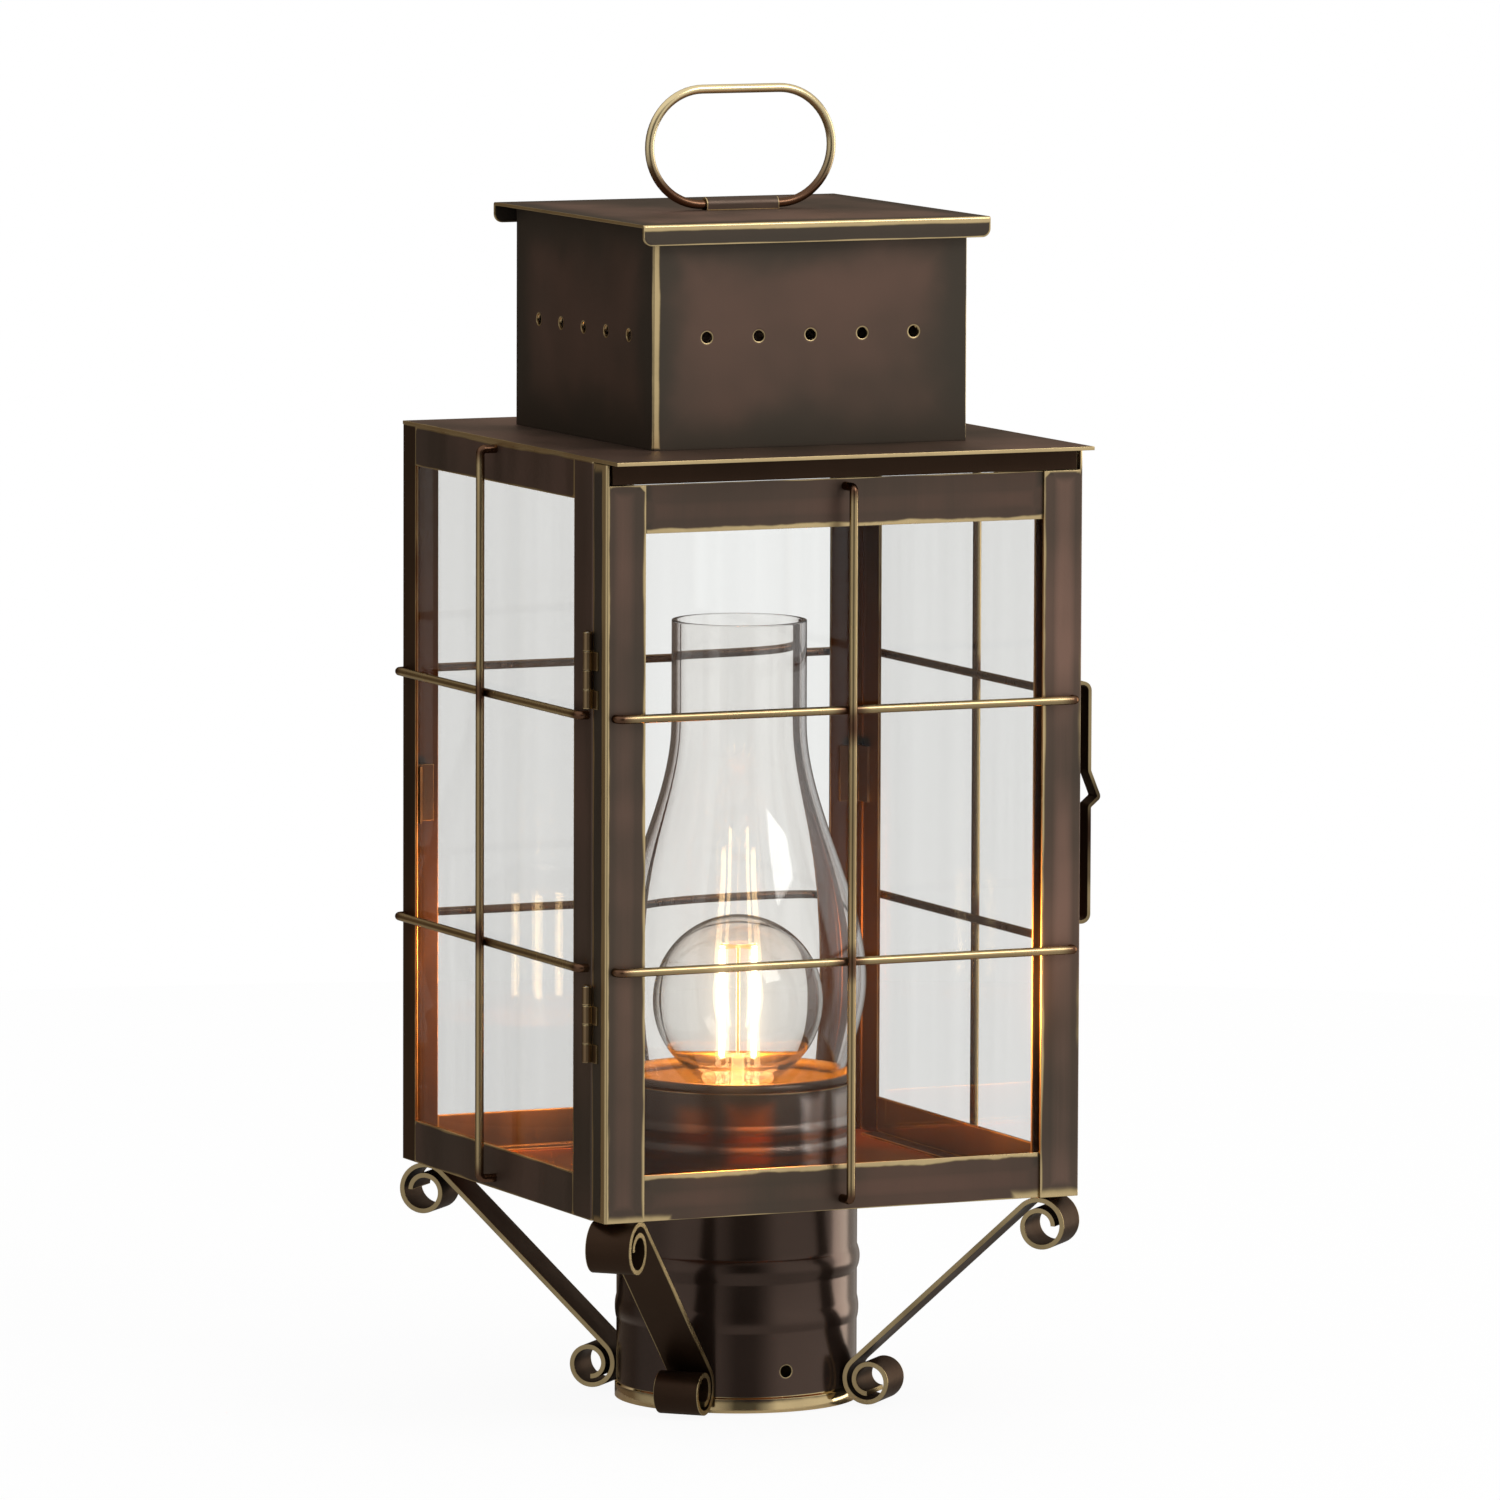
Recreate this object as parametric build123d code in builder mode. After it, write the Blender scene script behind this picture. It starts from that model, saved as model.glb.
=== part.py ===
"""Post top lantern: a square glazed lamp house on a round post fitter.

Sizes are in millimetres. +Z is up, the door faces -Y, and the origin is the centre of the fitter's foot.
The frame is angle and strip of thin brass sheet. A square vent box with a flat lid and a carrying handle
stands on the roof. Inside, a chimney glass stands in a spun cup round a globe bulb.
"""

import os
from math import acos, atan2, cos, degrees, hypot, sin

from build123d import *

os.makedirs("parts", exist_ok=True)

# ---------------------------------------------------------------- driving sizes
# Sheet and wire
sheet = 1.0             # frame posts, rails, door and lid
roof_sheet = 1.2        # roof plate
bend_radius = 0.8       # outside of a folded sheet corner
wire_radius = 1.25      # guard wires
glass_thickness = 2.0   # flat panes
rub_gap = 0.3           # between a moving piece and what it passes
fit_gap = 0.2           # between a pane's edge and its frame

# Lamp house
body_width = 170.0
body_depth = 170.0
body_height = 247.0     # floor's underside to roof's underside
back_leg = 11.0         # back corner posts
front_leg = 15.0        # fixed posts behind the door, along the side face
front_return = 12.0     # the same posts, turned in behind the door
side_top_rail = 13.0
side_bottom_rail = 14.0
rail_lip = 8.0
roof_overhang = 8.7     # roof plate past the door, at the front only
header_height = 6.8
header_depth = 9.0
floor_hole = 12.0       # wire way, radius

# Door
door_return = 10.5      # depth of the side returns
door_stile = 14.0
door_top_rail = 15.8
door_bottom_rail = 15.0
seam_gap = 0.6          # between the door's return and the fixed post
header_gap = 1.2        # header's ends inside the returns, clear of the swing

# Hinges and latch
knuckle_radius = 1.5
pin_radius = 0.75
pin_play = 0.05
knuckle_height = 6.25
knuckle_count = 4
knuckle_gap = 0.2
hinge_heights = (64.4, 179.6)   # hinge centres above the floor's underside
leaf_width = 4.5
leaf_thickness = 0.7
latch_length = 80.0
latch_centre = 130.2
latch_width = 7.0
latch_edge = 1.0        # strip's front edge behind the door's face
latch_strip = 1.2
latch_stand = 3.6       # middle of the strip, off the door's return
latch_curl = 2.6
pull_reach = 7.2        # middle of the finger pull's tip
pull_top = 8.8          # where the pull leaves the strip, above its tip
pull_drop = 3.0         # where it comes back, below its tip
pull_tip = 1.6          # tip above the strip's centre

# Guard wires
guard_stand = 3.3       # middle of the level wires, off the face
guard_bend = 1.5        # middle of the wire
guard_levels = (1 / 3, 2 / 3)   # of the body's height
guard_inset = 3.2       # middle of a wire's end, in from the frame's edge
upright_inset = 3.6

# Vent box, lid and handle
vent_width = 112.6
vent_height = 72.8
vent_ledge = 5.0        # roof plate inside the vent box
vent_hole = 1.9         # radius
vent_hole_pitch = 18.5
vent_hole_count = 5
lid_overhang = 5.7
lid_flange = 5.8
handle_wire = 1.5       # radius
handle_width = 68.6
handle_height = 41.0
strap_length = 26.0
strap_sheet = 0.8
strap_play = 0.1

# Post fitter
post_diameter = 76.2    # a three inch post
post_play = 1.6
fitter_wall = 1.1
fitter_length = 73.0
fitter_flange = 12.0    # collar round its top, under the floor plate
bead_height = 8.0
bead_swell = 0.9
bead_centres = (26.0, 43.0)     # below the floor
bead_fading = 0.6       # the lower bead's swell, as a share of the upper one's
hem_height = 4.6
hem_swell = 0.5
screw_hole = 2.1        # radius of the set-screw holes
screw_count = 3
screw_height = 13.5

# Scroll brackets
scroll_width = 15.5
scroll_strip = 1.6
scroll_top_radius = 8.3         # middle of the strip
scroll_foot_radius = 7.7
scroll_shrink = 0.88            # each quarter turn against the one before
scroll_quarters = 4             # after the first sweep
scroll_reach = 108.8            # top curl's centre, from the lantern's axis
scroll_lift = 0.6               # foot curl above the fitter's foot

# Chimney cup and chimney
cup_radius = 38.2
cup_wall = 0.9
cup_height = 36.0       # rim above the floor's underside
cup_bead = 5.0          # height of a bead
cup_bead_swell = 0.8
cup_bead_centres = (12.6, 19.6)
cup_floor_gap = 2.5     # cup's turned-in floor to the socket's base
rim_roll = 1.7          # radius of the rolled rim
seat_height = 10.0      # chimney's foot above the floor's underside
seat_inner = 19.0
seat_collar = 4.0
chimney_wall = 2.2
chimney_play = 0.5
chimney_foot_radius = 31.0
chimney_belly_radius = 42.6
chimney_neck_radius = 22.4
chimney_belly_height = 66.5     # above the floor's underside, as the next two
chimney_neck_height = 152.0
chimney_top_height = 186.2
chimney_foot_rise = 6.0         # straight collar at the foot
chimney_foot_flare = 1.1        # outward pull of the curve above the collar

# Socket and bulb
socket_radius = 16.5
sleeve_setback = 0.9    # screw sleeve's top below the socket's
socket_top = 28.0       # above the floor's underside
socket_base_height = 3.4
socket_base_rim = 1.5
sleeve_wall = 0.5
cap_radius = 13.0
cap_play = 0.3
cap_height = 21.0
cap_top = 27.0          # above the floor's underside
cap_tip_height = 3.0
contact_radius = 4.5
contact_gap = 0.1
globe_radius = 28.3
globe_centre = 59.4     # above the floor's underside
bulb_wall = 0.8
bulb_neck_radius = 12.6
bulb_shoulder = 5.0     # blend between globe and neck
filament_count = 4
filament_radius = 0.9
filament_circle = 7.5
filament_turn = 20.0
filament_bottom = 41.5
filament_top = 76.6
stem_foot_radius = 6.5
stem_radius = 2.2
stem_flare = 9.0        # height of the stem's flared foot
rod_radius = 0.6
lead_radius = 0.4

# Panes and their clips
pane_lap = 4.0          # door pane's edge, in from the rails' outer edges
pane_side = 1.0         # door pane's side, clear of the returns
clip_height = 19.0
clip_leg = 8.0

# ---------------------------------------------------------------- worked out
half_width = body_width / 2
half_depth = body_depth / 2
front = -half_depth
back = half_depth
floor_z = fitter_length
roof_z = floor_z + body_height
lid_z = roof_z + roof_sheet + vent_height
middle_z = floor_z + body_height / 2
seam_y = front + door_return            # back edge of the door's returns
fixed_front = seam_y + seam_gap         # front of the fixed frame
fitter_bore = (post_diameter + post_play) / 2
fitter_radius = fitter_bore + fitter_wall
stile_top = roof_z - header_height - rub_gap
return_top = roof_z - rub_gap
door_bottom = floor_z + rub_gap
floor_top = floor_z + sheet


def save(piece, label):
    """Label a finished piece and write it under that name."""
    piece.part.label = label
    export_step(piece.part, f"parts/{label}.step")


def inward(value):
    """The alignment that grows a rectangle from this side towards the middle."""
    return Align.MAX if value > 0 else Align.MIN


# ---------------------------------------------------------------- post fitter
def swelling(radius, centre, height, swell):
    """A rounded bead in a tube's profile: three points of an arc, from low to high."""
    return (radius, centre - height / 2), (radius + swell, centre), (radius, centre + height / 2)


with BuildPart() as post_fitter:
    with BuildSketch(Plane.XZ):
        with BuildLine():
            upper = swelling(fitter_radius, floor_z - bead_centres[0], bead_height, bead_swell)
            lower = swelling(
                fitter_radius, floor_z - bead_centres[1], bead_height, bead_swell * bead_fading
            )
            Polyline(
                (fitter_bore, 0),
                (fitter_radius + hem_swell, 0),
                (fitter_radius + hem_swell, hem_height),
                (fitter_radius, hem_height + hem_swell),
                lower[0],
            )
            ThreePointArc(*lower)
            Line(lower[2], upper[0])
            ThreePointArc(*upper)
            Polyline(
                upper[2],
                (fitter_radius, floor_z),
                (fitter_bore, floor_z),
                (fitter_bore, 0),
            )
        make_face()
    revolve(axis=Axis.Z)
    for turn in range(screw_count):
        screw_plane = Plane(
            origin=(0, 0, screw_height),
            z_dir=Vector(0, -1, 0).rotate(Axis.Z, turn * 360 / screw_count),
        )
        with BuildSketch(screw_plane):
            Circle(screw_hole)
        extrude(amount=fitter_radius + fitter_wall, mode=Mode.SUBTRACT)
save(post_fitter, "post_fitter")

with BuildPart() as fitter_collar:
    with BuildSketch(Plane.XY.offset(floor_z)):
        Circle(fitter_radius + fitter_flange)
        Circle(fitter_radius, mode=Mode.SUBTRACT)
    extrude(amount=-sheet)
save(fitter_collar, "fitter_collar")


# ---------------------------------------------------------------- scroll brackets
scroll_foot_x = fitter_radius + hem_swell + scroll_strip / 2 + scroll_foot_radius
scroll_foot_z = scroll_lift + scroll_strip / 2 + scroll_foot_radius
scroll_top_z = floor_z - scroll_strip / 2 - scroll_top_radius
rise = scroll_top_z - scroll_foot_z
run = scroll_reach - scroll_foot_x
# Both curls touch the straight spine on its outer, lower side.
spine_normal = atan2(rise, run) + acos((scroll_foot_radius - scroll_top_radius) / hypot(rise, run))


def curl(start, tangent, radius, first_sweep, turn):
    """Wind a strip's end inwards: one wide sweep, then quarter turns that tighten."""
    end = JernArc(start=start, tangent=tangent, radius=radius, arc_size=turn * first_sweep)
    for quarter in range(1, scroll_quarters + 1):
        tight = radius * scroll_shrink**quarter
        end = JernArc(start=end @ 1, tangent=end % 1, radius=tight, arc_size=turn * 90)


def scroll_bracket(bearing):
    """A C-scroll of flat strip, upright in the plane at this bearing from +X."""
    outward = Vector(1, 0, 0).rotate(Axis.Z, bearing)
    upright = Plane(origin=(0, 0, 0), x_dir=outward, z_dir=outward.cross(Vector(0, 0, 1)))
    normal = Vector(cos(spine_normal), sin(spine_normal))
    along = Vector(-normal.Y, normal.X) * -1
    foot = Vector(scroll_foot_x, scroll_foot_z) + normal * scroll_foot_radius
    top = Vector(scroll_reach, scroll_top_z) + normal * scroll_top_radius
    with BuildPart() as bracket:
        with BuildSketch(upright):
            with BuildLine():
                Line(foot, top)
                curl(top, along, scroll_top_radius, degrees(spine_normal), -1)
                curl(foot, along * -1, scroll_foot_radius, 270 - degrees(spine_normal), 1)
            trace(line_width=scroll_strip)
        extrude(amount=scroll_width / 2, both=True)
    return bracket


for corner, bearing in {
    "front_right": -45,
    "back_right": 45,
    "back_left": 135,
    "front_left": -135,
}.items():
    save(scroll_bracket(bearing), f"{corner}_scroll")


# ---------------------------------------------------------------- fixed frame
with BuildPart() as floor_plate:
    with BuildSketch(Plane.XY.offset(floor_z)):
        with Locations((0, back - sheet)):
            Rectangle(
                body_width - 2 * sheet,
                back - sheet - (fixed_front + sheet),
                align=(Align.CENTER, Align.MAX),
            )
        Circle(floor_hole, mode=Mode.SUBTRACT)
    extrude(amount=sheet)
save(floor_plate, "floor_plate")


def corner_post(x, y, leg_x, leg_y):
    """An angle of folded sheet, from its outer corner (x, y) towards the middle."""
    with BuildPart() as post:
        with BuildSketch(Plane.XY.offset(floor_z)):
            with Locations((x, y)):
                Rectangle(leg_x, sheet, align=(inward(x), inward(y)))
                Rectangle(sheet, leg_y, align=(inward(x), inward(y)))
        extrude(amount=body_height)
        upright = post.edges().filter_by(Axis.Z)
        fold = upright.sort_by(lambda edge: abs(edge.center().X - x) + abs(edge.center().Y - y))[0]
        fillet(fold, bend_radius)
    return post


save(corner_post(-half_width, back, back_leg, back_leg), "back_left_post")
save(corner_post(half_width, back, back_leg, back_leg), "back_right_post")
save(corner_post(-half_width, fixed_front, front_return, front_leg), "front_left_post")
save(corner_post(half_width, fixed_front, front_return, front_leg), "front_right_post")

# Each side face: where its rails start and end along the face, measured from its middle.
side_near = fixed_front + front_leg
side_far = back - back_leg
side_middle = (side_near + side_far) / 2
side_length = side_far - side_near
back_length = body_width - 2 * back_leg


def face_plane(x, y, z_dir):
    """A face of the lamp house seen from outside: x runs level, y runs up, z points outward."""
    outward = Vector(*z_dir)
    return Plane(origin=(x, y, middle_z), x_dir=Vector(0, 0, 1).cross(outward), z_dir=outward)


left_face = face_plane(-half_width, side_middle, (-1, 0, 0))
right_face = face_plane(half_width, side_middle, (1, 0, 0))
back_face = face_plane(0, back, (0, 1, 0))
front_face = face_plane(0, front, (0, -1, 0))


def rail(face, length, height, top):
    """An angle rail flush with a face: a flange of this height and a lip turned in behind it."""
    edge = Align.MAX if top else Align.MIN
    flange_level = body_height / 2 if top else -body_height / 2
    lip_level = flange_level if top else flange_level + sheet
    with BuildPart() as strip:
        with BuildSketch(face):
            with Locations((0, flange_level)):
                Rectangle(length, height, align=(Align.CENTER, edge))
        extrude(amount=-sheet)
        with BuildSketch(face.offset(-sheet)):
            with Locations((0, lip_level)):
                Rectangle(length, sheet, align=(Align.CENTER, edge))
        extrude(amount=sheet - rail_lip)
    return strip


for face_name, face, length in (
    ("left", left_face, side_length),
    ("right", right_face, side_length),
    ("back", back_face, back_length),
):
    save(rail(face, length, side_top_rail, True), f"{face_name}_top_rail")
    save(rail(face, length, side_bottom_rail, False), f"{face_name}_bottom_rail")

vent_opening = vent_width - 2 * (sheet + vent_ledge)
with BuildPart() as roof_plate:
    with BuildSketch(Plane.XY.offset(roof_z)):
        with Locations((0, back)):
            Rectangle(body_width, body_depth + roof_overhang, align=(Align.CENTER, Align.MAX))
        Rectangle(vent_opening, vent_opening, mode=Mode.SUBTRACT)
    extrude(amount=roof_sheet)
save(roof_plate, "roof_plate")

header_length = body_width - 2 * (sheet + header_gap)
with BuildPart() as header_strip:
    with BuildSketch(Plane.XY.offset(roof_z)):
        with Locations((0, front)):
            Rectangle(header_length, header_depth, align=(Align.CENTER, Align.MIN))
    extrude(amount=-sheet)
    with BuildSketch(Plane.XY.offset(roof_z)):
        with Locations((0, front)):
            Rectangle(header_length, sheet, align=(Align.CENTER, Align.MIN))
    extrude(amount=-header_height)
save(header_strip, "header_strip")


# ---------------------------------------------------------------- vent box, lid, handle
vent_z = roof_z + roof_sheet
with BuildPart() as vent_box:
    with BuildSketch(Plane.XY.offset(vent_z)):
        Rectangle(vent_width, vent_width)
    extrude(amount=vent_height)
    fillet(vent_box.edges().filter_by(Axis.Z), bend_radius)
    with BuildSketch(Plane.XY.offset(vent_z)):
        Rectangle(vent_width - 2 * sheet, vent_width - 2 * sheet)
    extrude(amount=vent_height, mode=Mode.SUBTRACT)
    for side in (Plane.XZ, Plane.YZ):
        with BuildSketch(side.shift_origin((0, 0, vent_z + vent_height / 2))):
            with GridLocations(vent_hole_pitch, 1, vent_hole_count, 1):
                Circle(vent_hole)
        extrude(amount=vent_width, both=True, mode=Mode.SUBTRACT)
save(vent_box, "vent_box")

lid_width = vent_width + 2 * lid_overhang
with BuildPart() as lid:
    with BuildSketch(Plane.YZ):
        with Locations((0, lid_z + sheet)):
            Rectangle(lid_width, lid_flange + sheet, align=(Align.CENTER, Align.MAX))
            with Locations((0, -sheet)):
                Rectangle(
                    lid_width - 2 * sheet,
                    lid_flange,
                    align=(Align.CENTER, Align.MAX),
                    mode=Mode.SUBTRACT,
                )
    extrude(amount=lid_width / 2, both=True)
    folds = lid.edges().filter_by(Axis.X).group_by(Axis.Z)[-1]
    fillet(folds, bend_radius)
    corners = lid.edges().filter_by(Axis.Y).group_by(Axis.Z)[0]
    fillet(corners, lid_flange / 2)
save(lid, "lid")

lid_top = lid_z + sheet
handle_z = lid_top + rub_gap + handle_wire
strap_bore = handle_wire + strap_play
with BuildPart() as handle_strap:
    strap_rise = handle_z - lid_top
    legs = (Align.CENTER, Align.MAX)
    with BuildSketch(Plane.YZ.shift_origin((0, 0, handle_z))):
        Circle(strap_bore + strap_sheet)
        Rectangle(2 * (strap_bore + strap_sheet), strap_rise, align=legs)
        Circle(strap_bore, mode=Mode.SUBTRACT)
        Rectangle(2 * strap_bore, strap_rise, align=legs, mode=Mode.SUBTRACT)
        with Locations((0, -strap_rise)):
            Rectangle(lid_width, lid_width, align=legs, mode=Mode.SUBTRACT)
    extrude(amount=strap_length / 2, both=True)
save(handle_strap, "handle_strap")

loop_height = handle_height - 2 * handle_wire
loop_length = handle_width - 2 * handle_wire
loop_middle = handle_z + loop_height / 2
half_straight = (loop_length - loop_height) / 2
with BuildPart() as handle_loop:
    for level in (handle_z, handle_z + loop_height):
        with BuildSketch(Plane.YZ.shift_origin((0, 0, level))):
            Circle(handle_wire)
        extrude(amount=half_straight, both=True)
    for side in (-1, 1):
        bend_start = (side * half_straight, 0, handle_z)
        with BuildSketch(Plane(origin=bend_start, x_dir=(0, 1, 0), z_dir=(1, 0, 0))):
            Circle(handle_wire)
        turn = Axis((side * half_straight, 0, loop_middle), (0, -side, 0))
        revolve(axis=turn, revolution_arc=180)
save(handle_loop, "handle_loop")


# ---------------------------------------------------------------- guard wires
def guard_wire(face, along, centre, reach_low, reach_high, stand, seat=0.0):
    """A round wire that stands off a face, with both ends turned in to the frame.

    along is the wire's direction, and centre a point on the face. The ends land on a seat that lies this
    far inside the face.
    """
    outward = face.z_dir
    run_start = centre + along * (reach_low + guard_bend) + outward * stand
    with BuildPart() as wire:
        with BuildSketch(Plane(origin=run_start, z_dir=along)):
            Circle(wire_radius)
        extrude(amount=reach_high - reach_low - 2 * guard_bend)
        for reach, side in ((reach_low, 1), (reach_high, -1)):
            foot = centre + along * reach - outward * seat
            bend_start = centre + along * reach + outward * (stand - guard_bend)
            with BuildSketch(Plane(origin=foot, z_dir=outward)):
                Circle(wire_radius)
            extrude(amount=stand - guard_bend + seat)
            with BuildSketch(Plane(origin=bend_start, z_dir=outward)):
                Circle(wire_radius)
            turn = Axis(bend_start + along * (side * guard_bend), outward.cross(along) * side)
            revolve(axis=turn, revolution_arc=90)
    return wire


upright_stand = guard_stand + 2 * wire_radius


def guard(face, prefix, half_span, low, high, seat=0.0):
    """Three wires over a face: two level ones, and an upright one outside them."""
    for name, level in zip(("lower", "upper"), guard_levels):
        centre = face.origin + Vector(0, 0, (level - 1 / 2) * body_height)
        wire = guard_wire(face, face.x_dir, centre, -half_span, half_span, guard_stand)
        save(wire, f"{prefix}_guard_{name}")
    upright = guard_wire(face, Vector(0, 0, 1), face.origin, low, high, upright_stand, seat)
    save(upright, f"{prefix}_guard_upright")


fixed_low = upright_inset - body_height / 2
side_span = (back - fixed_front) / 2 - guard_inset
fixed_middle = (fixed_front + back) / 2
left_guard_face = face_plane(-half_width, fixed_middle, (-1, 0, 0))
right_guard_face = face_plane(half_width, fixed_middle, (1, 0, 0))
guard(left_guard_face, "left", side_span, fixed_low, -fixed_low)
guard(right_guard_face, "right", side_span, fixed_low, -fixed_low)
guard(back_face, "back", half_width - guard_inset, fixed_low, -fixed_low)
door_low = door_bottom + upright_inset - middle_z
door_high = stile_top - upright_inset - middle_z
guard(front_face, "door", half_width - guard_inset, door_low, door_high, seat=sheet)


# ---------------------------------------------------------------- panes and their clips
def slab(x_range, y_range, z_range):
    """A plain slab between these limits."""
    with BuildPart() as piece:
        with BuildSketch(Plane.XY.offset(z_range[0])):
            with Locations((sum(x_range) / 2, sum(y_range) / 2)):
                Rectangle(x_range[1] - x_range[0], y_range[1] - y_range[0])
        extrude(amount=z_range[1] - z_range[0])
    return piece


side_inner = half_width - sheet         # inside of the side faces
back_inner = back - sheet
pane_x = side_inner - glass_thickness
pane_y = back_inner - glass_thickness
clip_web = glass_thickness + sheet
pane_z = (floor_top + sheet, roof_z - sheet - rub_gap)
pane_run = (fixed_front + sheet + fit_gap, back_inner - clip_web - fit_gap)
back_run = side_inner - clip_web - fit_gap
save(slab((-side_inner, -pane_x), pane_run, pane_z), "left_pane")
save(slab((pane_x, side_inner), pane_run, pane_z), "right_pane")
save(slab((-back_run, back_run), (pane_y, back_inner), pane_z), "back_pane")

with BuildPart() as pane_clips:
    with BuildSketch(Plane.XY.offset(middle_z - clip_height / 2)):
        for side in (-1, 1):
            with Locations((side * pane_x, pane_y)):
                Rectangle(clip_leg, sheet, align=(inward(side), Align.MAX))
                Rectangle(sheet, clip_leg, align=(inward(side), Align.MAX))
            with Locations((side * side_inner, back_inner)):
                Rectangle(clip_web, clip_web, align=(inward(side), Align.MAX))
            with Locations((side * pane_x, fixed_front + sheet)):
                Rectangle(clip_leg, sheet, align=(inward(side), Align.MIN))
                Rectangle(sheet, clip_leg, align=(inward(side), Align.MIN))
    extrude(amount=clip_height)
save(pane_clips, "pane_clips")


# ---------------------------------------------------------------- door
def door_stile_angle(side):
    """An angle: the stile in front, and its return round the side, which is taller."""
    with BuildPart() as stile:
        with BuildSketch(Plane.XY.offset(door_bottom)):
            with Locations((side * half_width, front)):
                Rectangle(door_stile, sheet, align=(inward(side), Align.MIN))
        extrude(amount=stile_top - door_bottom)
        with BuildSketch(Plane.XY.offset(door_bottom)):
            with Locations((side * half_width, front)):
                Rectangle(sheet, door_return, align=(inward(side), Align.MIN))
        extrude(amount=return_top - door_bottom)
        upright = stile.edges().filter_by(Axis.Z)
        fold = upright.sort_by(lambda edge: side * edge.center().X - edge.center().Y)[-1]
        fillet(fold, bend_radius)
    return stile


save(door_stile_angle(-1), "door_left_stile")
save(door_stile_angle(1), "door_right_stile")

door_inner = half_width - sheet
rail_front = front + sheet
rail_back = rail_front + sheet
door_pane_back = rail_back + glass_thickness
top_rail_z = (stile_top - door_top_rail, stile_top)
bottom_rail_z = (door_bottom, door_bottom + door_bottom_rail)
save(slab((-door_inner, door_inner), (rail_front, rail_back), top_rail_z), "door_top_rail")
save(slab((-door_inner, door_inner), (rail_front, rail_back), bottom_rail_z), "door_bottom_rail")
save(
    slab(
        (pane_side - door_inner, door_inner - pane_side),
        (rail_back, door_pane_back),
        (door_bottom + pane_lap, stile_top - pane_lap),
    ),
    "door_pane",
)

with BuildPart() as door_clips:
    with BuildSketch(Plane.XY.offset(middle_z - clip_height / 2)):
        for side in (-1, 1):
            with Locations((side * door_inner, door_pane_back)):
                Rectangle(clip_leg, sheet, align=(inward(side), Align.MIN))
                Rectangle(sheet, seam_y - sheet - door_pane_back, align=(inward(side), Align.MIN))
    extrude(amount=clip_height)
save(door_clips, "door_clips")


# ---------------------------------------------------------------- hinges
hinge_x = -half_width - knuckle_radius - rub_gap
hinge_y = seam_y + seam_gap / 2
leaf_start = seam_gap


def knuckles(first, side):
    """Every second knuckle of both hinges, with a short leaf on the frame at this side of the seam."""
    with BuildPart() as rings:
        for centre in hinge_heights:
            bottom = floor_z + centre - knuckle_count * knuckle_height / 2
            for number in range(first, knuckle_count, 2):
                with BuildSketch(Plane.XY.offset(bottom + number * knuckle_height + knuckle_gap / 2)):
                    with Locations((hinge_x, hinge_y)):
                        Circle(knuckle_radius)
                    with Locations((-half_width, hinge_y + side * leaf_start)):
                        Rectangle(leaf_thickness, leaf_width, align=(Align.MAX, inward(-side)))
                    with Locations((hinge_x, hinge_y)):
                        Circle(pin_radius + pin_play, mode=Mode.SUBTRACT)
                extrude(amount=knuckle_height - knuckle_gap)
    return rings


save(knuckles(1, 1), "post_knuckles")
save(knuckles(0, -1), "door_knuckles")

with BuildPart() as hinge_pins:
    for centre in hinge_heights:
        with BuildSketch(Plane.XY.offset(floor_z + centre)):
            with Locations((hinge_x, hinge_y)):
                Circle(pin_radius)
        extrude(amount=knuckle_count * knuckle_height / 2, both=True)
save(hinge_pins, "hinge_pins")


# ---------------------------------------------------------------- latch
latch_plane = Plane(
    origin=(half_width, front + latch_edge + latch_width / 2, floor_z + latch_centre),
    x_dir=(1, 0, 0),
    z_dir=(0, -1, 0),
)
latch_end = (latch_length - latch_strip) / 2
with BuildPart() as latch:
    with BuildSketch(latch_plane):
        with BuildLine():
            FilletPolyline(
                (0, -latch_end),
                (latch_stand, -latch_end),
                (latch_stand, pull_tip - pull_drop),
                (pull_reach, pull_tip),
                (latch_stand, pull_tip + pull_top),
                (latch_stand, latch_end),
                (0, latch_end),
                radius=[latch_curl, latch_strip, latch_strip, latch_curl, latch_curl],
            )
        trace(line_width=latch_strip)
    extrude(amount=latch_width / 2, both=True)
save(latch, "latch_strip")


# ---------------------------------------------------------------- chimney cup and its seat
cup_inner = cup_radius - cup_wall
cup_top = floor_z + cup_height
cup_floor_inner = socket_radius + socket_base_rim + cup_floor_gap
beads = [swelling(cup_radius, floor_z + level, cup_bead, cup_bead_swell) for level in cup_bead_centres]
with BuildPart() as chimney_cup:
    with BuildSketch(Plane.XZ):
        with BuildLine():
            Polyline((cup_inner, cup_top - rim_roll), (cup_inner, floor_top + cup_wall))
            Polyline(
                (cup_inner, floor_top + cup_wall),
                (cup_floor_inner, floor_top + cup_wall),
                (cup_floor_inner, floor_top),
                (cup_radius, floor_top),
                beads[0][0],
            )
            ThreePointArc(*beads[0])
            Line(beads[0][2], beads[1][0])
            ThreePointArc(*beads[1])
            Polyline(beads[1][2], (cup_radius, cup_top - rim_roll), (cup_inner, cup_top - rim_roll))
        make_face()
        with Locations((cup_radius - cup_wall, cup_top - rim_roll)):
            Circle(rim_roll)
    revolve(axis=Axis.Z)
save(chimney_cup, "chimney_cup")

seat_z = floor_z + seat_height
with BuildPart() as chimney_seat:
    with BuildSketch(Plane.XY.offset(seat_z)):
        Circle(cup_inner)
        Circle(seat_inner, mode=Mode.SUBTRACT)
    extrude(amount=-cup_wall)
    with BuildSketch(Plane.XY.offset(seat_z)):
        Circle(chimney_foot_radius + chimney_play + cup_wall)
        Circle(chimney_foot_radius + chimney_play, mode=Mode.SUBTRACT)
    extrude(amount=seat_collar)
save(chimney_seat, "chimney_seat")


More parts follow.
